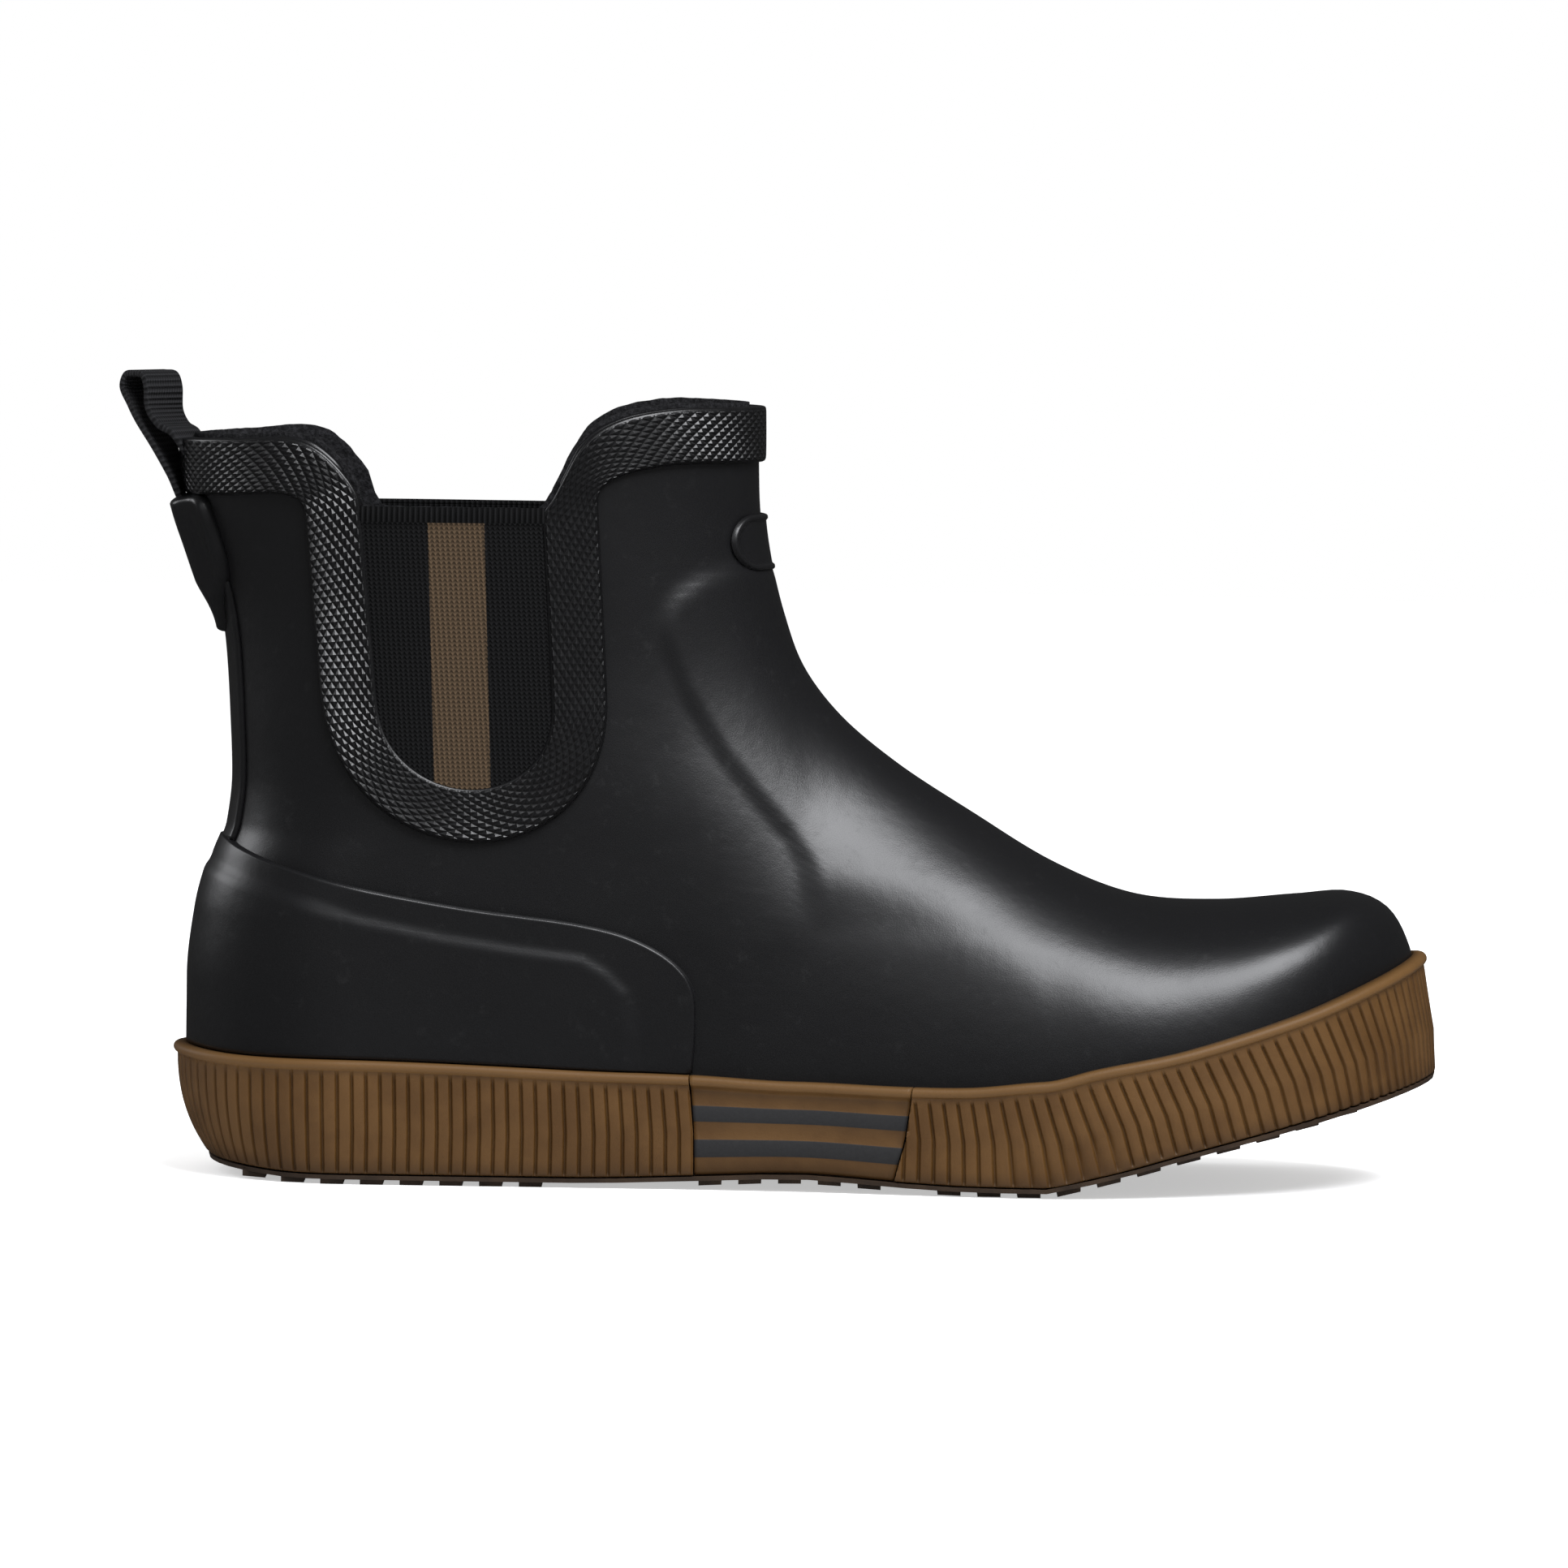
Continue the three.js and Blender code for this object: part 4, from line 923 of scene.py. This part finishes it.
# Back strip, tab and badge. Thin rubber pieces on the shaft's centre line. Their places are
# given as they are seen from behind or from the front, across and up.
def at_end(across, z, lift, front=False):
    """Points on the back or the front of the shaft at a distance across from its middle."""
    near = front_at(z) if front else back_at(z)
    way = -1 if front else 1
    low, high = np.zeros_like(z), np.full_like(z, 45.0)
    for _ in range(HALVINGS):
        depth = (low + high) / 2
        wide = half_squared(near + way * depth, z) > across ** 2
        low, high = np.where(wide, low, depth), np.where(wide, depth, high)
    depth = np.where(np.abs(across) < 0.02, 0, (low + high) / 2)
    return on_last(near + way * depth, z, np.sign(across) + (across == 0), lift)


def plate_place(outline, lift_at, insets, front=False):
    """Lays a plate on the shaft in rings from its outline in to its middle, and back beneath."""
    line = np.array(outline)
    heart = np.array([0.0, (line[:, 1].max() + line[:, 1].min()) / 2])
    reach = np.linalg.norm(line - heart, axis=1)
    insets = np.array([*insets, reach.max()]) / reach.max()
    insets = np.concatenate([insets, insets[::-1]])

    def place(u, v):
        row = nearest_row(v, len(insets))
        column = nearest_row(u, len(line))
        inset = insets[row]
        across, z = (heart + (line[column] - heart) * (1 - inset)[:, None]).T
        lift = lift_at(across, z, inset * reach[column])
        return at_end(across, z, np.where(row < len(insets) // 2, lift, UNDER * (inset > 0)), front)

    return place, len(line) - 1, len(insets) - 1


def closed(points, steps):
    """A closed outline with softened corners, at even distances."""
    line = evenly([*points, points[0]], steps)
    for _ in range(5):
        ring = line[:-1]
        line[:-1] = (np.roll(ring, 1, axis=0) + 2 * ring + np.roll(ring, -1, axis=0)) / 4
    line[-1] = line[0]
    return line


STRIP = 1.2
STRIP_HALF = 12.0
STRIP_FOOT = 76.0
STRIP_ROUND = 0.8
STRIP_ROWS = (-1.0, -0.99, -0.96, -0.9, *np.linspace(-0.8, 0.8, 17), 0.9, 0.96, 0.99, 1.0)
STRIP_COLUMNS = 90
strip_top = float(collar_edge(0.0)) - BAND_WIDTH - 0.2


def strip_place(u, v):
    """Rows across the strip, and two more that close it underneath."""
    row = nearest_row(v, len(STRIP_ROWS) + 2)
    share = np.array([*STRIP_ROWS, 0.0, -1.0])[row]
    at_edge = np.maximum(0, (np.abs(share) - 1) * STRIP_HALF + STRIP_ROUND) / STRIP_ROUND
    rounding = np.sqrt(np.clip(1 - at_edge ** 2, 0, 1))
    lift = np.where(row < len(STRIP_ROWS), STRIP * rounding, 0)
    return at_end(share * STRIP_HALF, mix(STRIP_FOOT, strip_top, u), lift)


strip = wrapped("back_seam_strip", STRIP_COLUMNS, len(STRIP_ROWS) + 1, strip_place, close=True)
dressed(strip, rubber, "black_rubber", "back_strip")

TAB_HEIGHT = 32.0
TAB_OUTLINE = (
    (13.0, 0.0), (14.6, -1.2), (15.0, -5.0), (14.6, -14.0), (13.2, -18.5),
    (9.8, -22.5), (7.4, -25.5), (6.6, -29.0), (5.0, -31.6), (2.2, -TAB_HEIGHT),
)
TAB_RINGS = (0, 0.15, 0.4, 0.8, 1.2, 1.8, 2.6, 4, 5.5, 7, 9, 11, 13.5)
TAB = 3.0
TAB_HUMP = 2.7  # over the webbing
TAB_ROUND = 1.5
tab_top = strip_top + 0.5
tab_half = [(across, tab_top + down) for across, down in TAB_OUTLINE]
tab_line = closed([*tab_half, *[(-across, z) for across, z in tab_half[::-1]]], 170)


def rounded_edge(inset, radius):
    return np.sqrt(1 - (1 - np.clip(inset / radius, 0, 1)) ** 2)


def tab_lift(across, z, inset):
    hump = ease((11.0 - np.abs(across)) / 5.0) * ease((z - tab_top + 31) / 14)
    return rounded_edge(inset, TAB_ROUND) * (TAB + TAB_HUMP * hump)


place, columns, rows = plate_place(tab_line, tab_lift, TAB_RINGS)
tab = wrapped("webbing_tab", columns, rows, place)
dressed(tab, rubber, "black_rubber", "pull_tab")

BADGE_WIDTH = 34.6
BADGE_HEIGHT = 13.0
BADGE_MIDDLE = 145.4
BADGE_RIM = 1.6
BADGE_SINK = 0.45
BADGE_ROUND = 0.7
BADGE_RINGS = (0, 0.3, 0.6, 1.0, 1.5, 2.0, 2.5, 3, 3.6, 4.3, 5.5, 7, 9, 11, 13, 15)
turns = np.linspace(0, 2 * np.pi, 121)
badge_line = np.stack([
    np.sign(np.cos(turns)) * (BADGE_WIDTH - BADGE_HEIGHT) / 2 + np.cos(turns) * BADGE_HEIGHT / 2,
    BADGE_MIDDLE + np.sin(turns) * BADGE_HEIGHT / 2,
], axis=1)
badge_line = closed(badge_line[:-1], 160)


def badge_lift(across, z, inset):
    side = np.maximum(0, np.abs(across) - (BADGE_WIDTH - BADGE_HEIGHT) / 2)
    inset = BADGE_HEIGHT / 2 - np.hypot(side, z - BADGE_MIDDLE)
    return rounded_edge(inset, BADGE_ROUND) * BADGE_RIM - BADGE_SINK * ease((inset - 1.1) / 0.5)


place, columns, rows = plate_place(badge_line, badge_lift, BADGE_RINGS, True)
badge = wrapped("blank_badge", columns, rows, place)
dressed(badge, rubber, "black_rubber", "badge")


# Sole. The ribbed heel and toe walls, the smooth waist walls between them and the lugged
# sole are moulded in gum rubber. The walls stand round the foot of the upper.
RIB_PITCH = 3.2
RIB_DEPTH = 0.95
HEEL_WALL_END = 120.0
TOE_WALL_START = 171.5
TOE_WALL_LEAN = 0.27
WALL_GAP = 0.35
SEAT_ROOM = 0.55
CORE_SETBACK = 3.2
RIM_HEIGHT = 2.6
FLARE = dict(
    along=(0.000, 0.040, 0.110, 0.200, 0.500, 0.700, 0.900, 0.982),
    rim=(5.4, 5.2, 4.6, 4.3, 4.2, 4.3, 4.2, 3.4),
    foot=(-3.4, -0.6, 1.6, 2.6, 3.0, 4.0, 4.2, 4.2),
)
RIB_PROFILE = (
    (0.0, 1.0), (0.055, 0.96), (0.095, 0.62), (0.125, 0.22), (0.165, 0.03), (0.21, 0.0),
    (0.5, -0.06), (0.79, 0.0), (0.835, 0.03), (0.875, 0.22), (0.905, 0.62), (0.945, 0.96),
)
BEAD = (
    (0.0, 1.15), (0.10, 0.70), (0.34, 0.34), (0.70, 0.10), (1.15, 0.0), (1.60, 0.10),
    (1.98, 0.36), (2.22, 0.70), (2.40, 0.92),
)
WAIST_STRIPES = ((0.30, 0.46), (0.64, 0.82))  # shares of the wall's height
WAIST_SETBACK = 2.0
STRIPE_SETBACK = 1.75
STRIPE_BEVEL = 1.85
RIBBED_SETBACK = 0.92
WAIST_COLUMNS = 61
FALL_CURVE = 2.6

rim_out = through(FLARE, "along", "rim", SOLE_LENGTH)
foot_out = through(FLARE, "along", "foot", SOLE_LENGTH)
rim_back, rim_nose = 0.0, NOSE
for _ in range(ROUNDS):
    rim_back = float(back_at(feather(rim_back)))
    rim_nose = float(nose_at(feather(rim_nose)))

TRACE = 700
half_round = np.linspace(0, 1, TRACE + 1)
trace_share = np.concatenate([half_round[:0:-1], half_round])
trace_side = np.repeat([-1.0, 1.0], [TRACE, TRACE + 1])
trace_run = run_of(trace_share)
trace_rim_x = mix(rim_back, rim_nose, trace_run)
trace_low_x = mix(low_back, NOSE, trace_run)
trace_rim = on_last(trace_rim_x, feather(trace_rim_x), trace_side)
trace_low = on_last(trace_low_x, upper_edge(trace_low_x), trace_side)
trace_s = run_along(trace_low[:, :2])
outline_length = trace_s[-1]
trace_way = np.roll(trace_low[:-1, :2], -2, axis=0) - np.roll(trace_low[:-1, :2], 2, axis=0)
trace_way = np.vstack([trace_way, trace_way[:1]])
trace_out = np.stack([-trace_way[:, 1], trace_way[:, 0]], axis=1)
trace_out /= np.linalg.norm(trace_out, axis=1, keepdims=True)
trace_middle = (sole_edge(trace_low_x) + feather(trace_low_x)) / 2
even_s = np.linspace(0, outline_length, 2001)
even_climb = np.gradient(np.interp(even_s, trace_s, trace_middle), even_s)
even_climb = np.convolve(np.tile(even_climb, 3), np.ones(81) / 81, "same")[2001:4002]
trace_climb = np.interp(trace_s, even_s, even_climb)[:, None]
STATION = np.hstack([trace_rim, trace_low, trace_out, trace_climb])


def station(s):
    """Rim, lower edge, way out and climb of the outline at distances s from its nose."""
    s = np.mod(s, outline_length)
    return np.stack([np.interp(s, trace_s, column) for column in STATION.T], axis=-1)


def distance_at(x, side):
    """Distance along the outline of a place x on the outer (-1) or the inner (1) side."""
    low_x = trace_low[:, 0]
    outer = np.interp(x, low_x[TRACE::-1], trace_s[TRACE::-1])
    inner = np.interp(x, low_x[TRACE:], trace_s[TRACE:])
    return outer if side < 0 else inner


def wall_height(s):
    table = station(s)
    return table[..., 2] - sole_edge(table[..., 3])


def wall_points(s, down, out):
    """Points of a side wall: down in mm below its rim, and out in mm from the upper."""
    table = station(s)
    rim, low, way = table[..., :3], table[..., 3:6], table[..., 6:8]
    blend = np.clip(down / (rim[..., 2] - low[..., 2]), 0, 1)[..., None]
    plan = mix(rim, low, blend)[..., :2] + way * out[..., None]
    return np.concatenate([plan, (rim[..., 2] - down)[..., None]], axis=-1)


def wall_rows(waist):
    """Section of a side wall, once round it from inside its rim. Each row holds its share of
    the height, millimetres below that, the setback of its face, and 1 if it is on the inside."""
    rows = [(0, 0, SEAT_ROOM, 1), *((0, down, back, 0) for down, back in BEAD)]
    if waist:
        face, stripe, bevel = WAIST_SETBACK, STRIPE_SETBACK, STRIPE_BEVEL
        rows += [(0, 2.7, 1.45, 0), (0, 3.1, 1.9, 0), (0, 3.5, face, 0)]
        for top, bottom in WAIST_STRIPES:
            rows += [(top, -0.3, face, 0), (top, 0, bevel, 0), (top, 0.3, stripe, 0)]
            rows += [(bottom, -0.3, stripe, 0), (bottom, 0, bevel, 0), (bottom, 0.3, face, 0)]
        rows += [(1, -0.8, face, 0), (1, -0.2, 2.2, 0), (1, 0, 2.6, 0)]
    else:
        face = RIBBED_SETBACK
        rows += [(share, 0, face, 0) for share in np.linspace(0.135, 0.95, 22)]
        rows += [(1, -0.7, face, 0), (1, -0.35, 1.0, 0), (1, -0.1, 1.25, 0), (1, 0, 1.6, 0)]
    rows += [(1, 0, -1, 1), *((share, 0, SEAT_ROOM, 1) for share in (0.66, 0.3, 0))]
    return np.array(rows)


def build_wall(name, first, last, waist):
    """A side wall between two ends: each gives the distance along at millimetres down."""
    rows = wall_rows(waist)
    start, end = float(first(0.0)), float(last(0.0))
    if waist:
        columns = np.linspace(start, end, WAIST_COLUMNS)
    else:
        count = round((end - start) / RIB_PITCH)
        pitch = (end - start) / count
        phase = np.array(RIB_PROFILE)[:, 0]
        columns = start + pitch * (np.arange(-5, count + 5)[:, None] + phase).ravel()

    def spread(u, v):
        """Distance along, millimetres down and out of each corner of the grid."""
        s = columns[nearest_row(u, len(columns))]
        share, below, back, inside = rows[nearest_row(v, len(rows))].T
        down = share * wall_height(s) + below
        slant = station(s)[..., 8]
        low, high = first(down), last(down)
        if waist:
            s = mix(low, high, (s - start) / (end - start))
            groove = 0 * s
        else:
            s = np.clip(s + slant * down, low, high)
            at = np.mod((s - station(s)[..., 8] * down - start) / pitch, 1)
            groove = np.interp(at, *np.array([*RIB_PROFILE, (1.0, 1.0)]).T)
            left = wall_height(s) - down
            groove = groove * ease((down - RIM_HEIGHT - 0.3) / 0.9) * ease((left + 0.1) / 1.1)
        down = share * wall_height(s) + below
        x = station(s)[..., 3]
        fall = np.clip(down / wall_height(s), 0, 1) ** FALL_CURVE
        face = mix(rim_out(x), foot_out(x), fall)
        hidden = np.where(back < 0, np.minimum(SEAT_ROOM, foot_out(x) - CORE_SETBACK), SEAT_ROOM)
        out = np.where(inside > 0, hidden, face - back - RIB_DEPTH * groove)
        return s, down, out

    def place(u, v):
        return wall_points(*spread(u, v))

    def sheet(u, v):
        s, down, _ = spread(u, v)
        return s, 100 * down / wall_height(s)

    return wrapped(name, len(columns) - 1, len(rows) - 1, place, sheet, close=True)


# Painted highlight on the side walls' rim and painted shade towards their foot
RIM_HIGHLIGHT_TAN = (0.100, 0.050, 0.014)
FOOT_SHADE_TAN = (0.028, 0.013, 0.0035)


def gum_material(name, deep, light, rim_edge, foot_edge, foot_share, colour):
    """Gum rubber in clouds of two browns, paler on the rim from a painted highlight and darker
    towards the floor from painted shade.
    Across, a wall's sheet runs from 0 at the rim to 100 at the foot."""
    paint = Paint(name)
    where = paint.place()
    across = paint.sheet()[1]
    cloud = paint.noise(where, 16, 4, 0.6)
    grit = paint.noise(where, 0.8, 3, 0.7)
    tan = paint.mix(cloud.ramp(0.32, 0.7), deep, light)
    # painted highlight on the rim, then painted shade towards the floor
    tan = paint.mix(across.ramp(*rim_edge, 1.0, 0.0) * 0.75, tan, RIM_HIGHLIGHT_TAN)
    tan = paint.mix(across.ramp(*foot_edge) * foot_share, tan, FOOT_SHADE_TAN)
    return paint.finish(
        Base_Color=colour(paint, across, grit, tan),
        Roughness=0.50 + cloud * 0.12,
        Normal=paint.bump(grit, 0.05, paint.bump(paint.noise(where, 4, 2), 0.10)),
        Specular_IOR_Level=0.24,
    )


def gritty(paint, across, grit, tan):
    return paint.mix(grit.ramp(0.60, 0.80) * 0.30, tan, (0.026, 0.012, 0.0035))


def with_stripes(paint, across, grit, tan):
    stripes = 0
    for top, bottom in WAIST_STRIPES:
        half = (bottom - top) * 50
        distance = (across - (top + bottom) * 50).abs()
        stripes = distance.ramp(half - 0.5, half + 0.5, 1.0, 0.0) + stripes
    grey = paint.mix(grit, (0.013, 0.013, 0.0138), (0.020, 0.020, 0.0212))
    return paint.mix(stripes, tan, grey)


gum = gum_material(
    "gum rubber", (0.059, 0.026, 0.0048), (0.078, 0.036, 0.0075),
    (8.6, 9.8), (82, 101), 0.55, gritty,
)
striped = gum_material(
    "striped gum rubber", (0.058, 0.026, 0.0055), (0.074, 0.035, 0.0080),
    (9.0, 10.4), (84, 101), 0.5, with_stripes,
)


def heel_end(side, gap=0.0):
    return lambda down: distance_at(HEEL_WALL_END, side) + gap + 0 * down


def toe_end(side, gap=0.0):
    return lambda down: distance_at(TOE_WALL_START - TOE_WALL_LEAN * np.asarray(down), side) + gap


SIDE_WALLS = (
    # piece, solid, first end, last end, at the waist
    ("heel_side_wall", "rand_heel", heel_end(-1), heel_end(1), False),
    ("toe_side_wall", "rand_toe", toe_end(1), toe_end(-1, outline_length), False),
    ("waist_wall_outer", "rand_waist_outer", toe_end(-1, WALL_GAP), heel_end(-1, -WALL_GAP), True),
    ("waist_wall_inner", "rand_waist_inner", heel_end(1, WALL_GAP), toe_end(1, -WALL_GAP), True),
)
for name, node, first, last, waist in SIDE_WALLS:
    wall = build_wall(name, first, last, waist)
    dressed(wall, striped if waist else gum, "gum_rubber", node)

# The lugged sole and its tread keep their CAD form. Their gum is painted darker, as painted shade
# under the boot.
paint = Paint("tread gum")
where = paint.place()
cloud = paint.noise(where, 12, 4, 0.6)
grit = paint.noise(where, 0.8, 3, 0.7)
tread = paint.finish(
    Base_Color=paint.mix(cloud.ramp(0.3, 0.7), (0.022, 0.010, 0.003), (0.038, 0.018, 0.005)),
    Roughness=0.6 + cloud * 0.15,
    Normal=paint.bump(grit, 0.08),
)
for node, material in (("outsole", tread), ("insole", fleece)):
    slots = frame["nodes"][node].data.materials
    slots.clear()
    slots.append(material)


# Pull loop. A black woven tape, sewn down under the tab, runs up into an open loop above the
# back of the collar and down again inside the shaft.
TAPE_WIDTH = 13.0
TAPE = 1.6
TAPE_ROUND = 0.6
TAPE_LIFT = 2.75
TAPE_INSIDE = 2.6
LOOP_RISE = 14.0
LOOP_REACH = 14.0
LOOP_STEPS = 220
LOOP_TWIST = math.radians(36)
LOOP_NARROWING = 0.62

rim = float(collar_edge(0.0))
back = float(back_at(rim))
loop_middle = back - 0.55 * LOOP_REACH
tape_foot = tab_top - 0.5 * TAB_HEIGHT
sewn_top = rim - 0.57 * LOOP_RISE
sewn = [(float(back_at(z)) - TAPE_LIFT, z) for z in np.linspace(tape_foot, sewn_top, 6)]
LOOP = (
    (-0.32, -0.03), (-0.72, 0.50), (-1.00, 0.82), (-0.90, 1.00), (-0.61, 1.03), (-0.31, 1.00),
    (-0.19, 0.82), (-0.16, 0.45), (0.04, 0.20), (0.30, 0.07),
)
free = [(back + LOOP_REACH * reach, rim + LOOP_RISE * rise) for reach, rise in LOOP]
inside_z = rim - LOOP_RISE * np.array([0.3, 0.65, 1.0])
inside = [(float(back_at(z)) + WALL + TAPE_INSIDE, z) for z in inside_z]
tape_line = flowing([*sewn, *free, *inside], LOOP_STEPS)
tape_way = np.gradient(tape_line, axis=0)
tape_way /= np.linalg.norm(tape_way, axis=1, keepdims=True)
tape_run = run_along(tape_line)
corner_turns = np.linspace(0, math.pi / 2, 5)
corner_across = TAPE_WIDTH / 2 - TAPE_ROUND + TAPE_ROUND * np.cos(corner_turns)
corner = [*zip(corner_across, TAPE / 2 - TAPE_ROUND + TAPE_ROUND * np.sin(corner_turns))]
flat = [(across, TAPE / 2) for across in np.linspace(5.2, -5.2, 9)]
top_half = [*corner, *flat, *[(-across, rise) for across, rise in corner[::-1]]]
tape_section = np.array([*top_half, *[(-across, -rise) for across, rise in top_half], top_half[0]])


def tape_place(u, v):
    step = nearest_row(u, LOOP_STEPS + 1)
    across, rise = tape_section[nearest_row(v, len(tape_section))].T
    free = ease((tape_line[step, 1] - rim + 16) / 26)
    narrow = mix(1, LOOP_NARROWING, free) * (tape_line[step, 0] - loop_middle)
    x = loop_middle + narrow - tape_way[step, 1] * rise
    z = tape_line[step, 1] + tape_way[step, 0] * rise
    twist = LOOP_TWIST * free
    turned = loop_middle + (x - loop_middle) * np.cos(twist) + across * np.sin(twist)
    return np.stack([turned, across * np.cos(twist) - (x - loop_middle) * np.sin(twist), z], axis=1)


def tape_sheet(u, v):
    across = tape_section[nearest_row(v, len(tape_section)), 0]
    return tape_run[nearest_row(u, LOOP_STEPS + 1)], across


tape = wrapped(
    "pull_loop_tape", LOOP_STEPS, len(tape_section) - 1, tape_place, tape_sheet, close=True
)

RIB = 1.25
STRAND = 0.9
paint = Paint("woven tape")
where = paint.place()
u, v = paint.sheet()
rib = (u * (2 * math.pi / RIB)).sine() * 0.5 + 0.5
strand = (v * (2 * math.pi / STRAND) + (u / RIB).wave(1.0) * math.pi).sine() * 0.5 + 0.5
height = rib * 0.7 + strand * 0.3
fuzz = paint.noise(where, 0.35, 2)
# The weave is painted darker in the hollows between its ribs and strands, as painted shade.
woven = paint.finish(
    Base_Color=paint.mix(height * 0.8 + fuzz * 0.2, (0.002, 0.002, 0.0025), (0.015, 0.015, 0.0165)),
    Roughness=0.8,
    Normal=paint.bump(height, 0.6),
    Specular_IOR_Level=0.2,
)
dressed(tape, woven, "webbing", "pull_loop")


# Studio. A pale floor under a white surround, and soft boxes above and to the sides. The
# surround is dimmer in reflections, so the black rubber keeps its depth.
bpy.ops.object.select_all(action="DESELECT")
bpy.ops.mesh.primitive_circle_add(vertices=96, radius=3.0, fill_type="NGON", location=(0, 0, 0))
floor = bpy.context.object
floor.name = "studio_floor"
floor.visible_glossy = False
paint = Paint("floor")
floor.data.materials.append(paint.finish(
    Base_Color=(0.90, 0.90, 0.90), Roughness=0.9, Specular_IOR_Level=0.1,
    Emission_Color=(1.0, 1.0, 1.0), Emission_Strength=0.48,
))

FILL = 0.60
REFLECTED = 0.04
DAYLIGHT = (0.96, 0.97, 1.0)
world = bpy.data.worlds.new("surround")
bpy.context.scene.world = world
world.use_nodes = True
tree = world.node_tree
ray = tree.nodes.new("ShaderNodeLightPath")
strength = tree.nodes["Background"].inputs["Strength"]
tree.nodes["Background"].inputs["Color"].default_value = (1.0, 1.0, 1.0, 1.0)
share = REFLECTED
for output, value in (("Is Diffuse Ray", FILL), ("Is Camera Ray", 1.0)):
    blend = tree.nodes.new("ShaderNodeMix")
    tree.links.new(ray.outputs[output], blend.inputs[0])
    if isinstance(share, float):
        blend.inputs[2].default_value = share
    else:
        tree.links.new(share, blend.inputs[2])
    blend.inputs[3].default_value = value
    share = blend.outputs[0]
tree.links.new(share, strength)

SOFT_BOXES = (
    # name, place, size, power, aim
    ("key_box", (0.62, -0.80, 1.32), 0.95, 41.0, (0.14, 0.0, 0.06)),
    ("front_box", (-0.45, -1.50, 0.95), 0.9, 2.2, (0.08, 0.0, 0.08)),
    ("rim_box", (-1.20, 0.55, 0.60), 0.6, 5.0, (0.0, 0.0, 0.10)),
)
for name, place, size, power, aim in SOFT_BOXES:
    bpy.ops.object.light_add(type="AREA", location=place)
    lamp = bpy.context.object
    lamp.name = name
    lamp.data.size = size
    lamp.data.energy = power
    lamp.data.color = DAYLIGHT
    way = Matrix.Translation(place).inverted() @ Matrix.Translation(aim)
    lamp.rotation_euler = way.translation.to_track_quat("-Z", "Y").to_euler()
bpy.context.scene.view_settings.view_transform = "Standard"
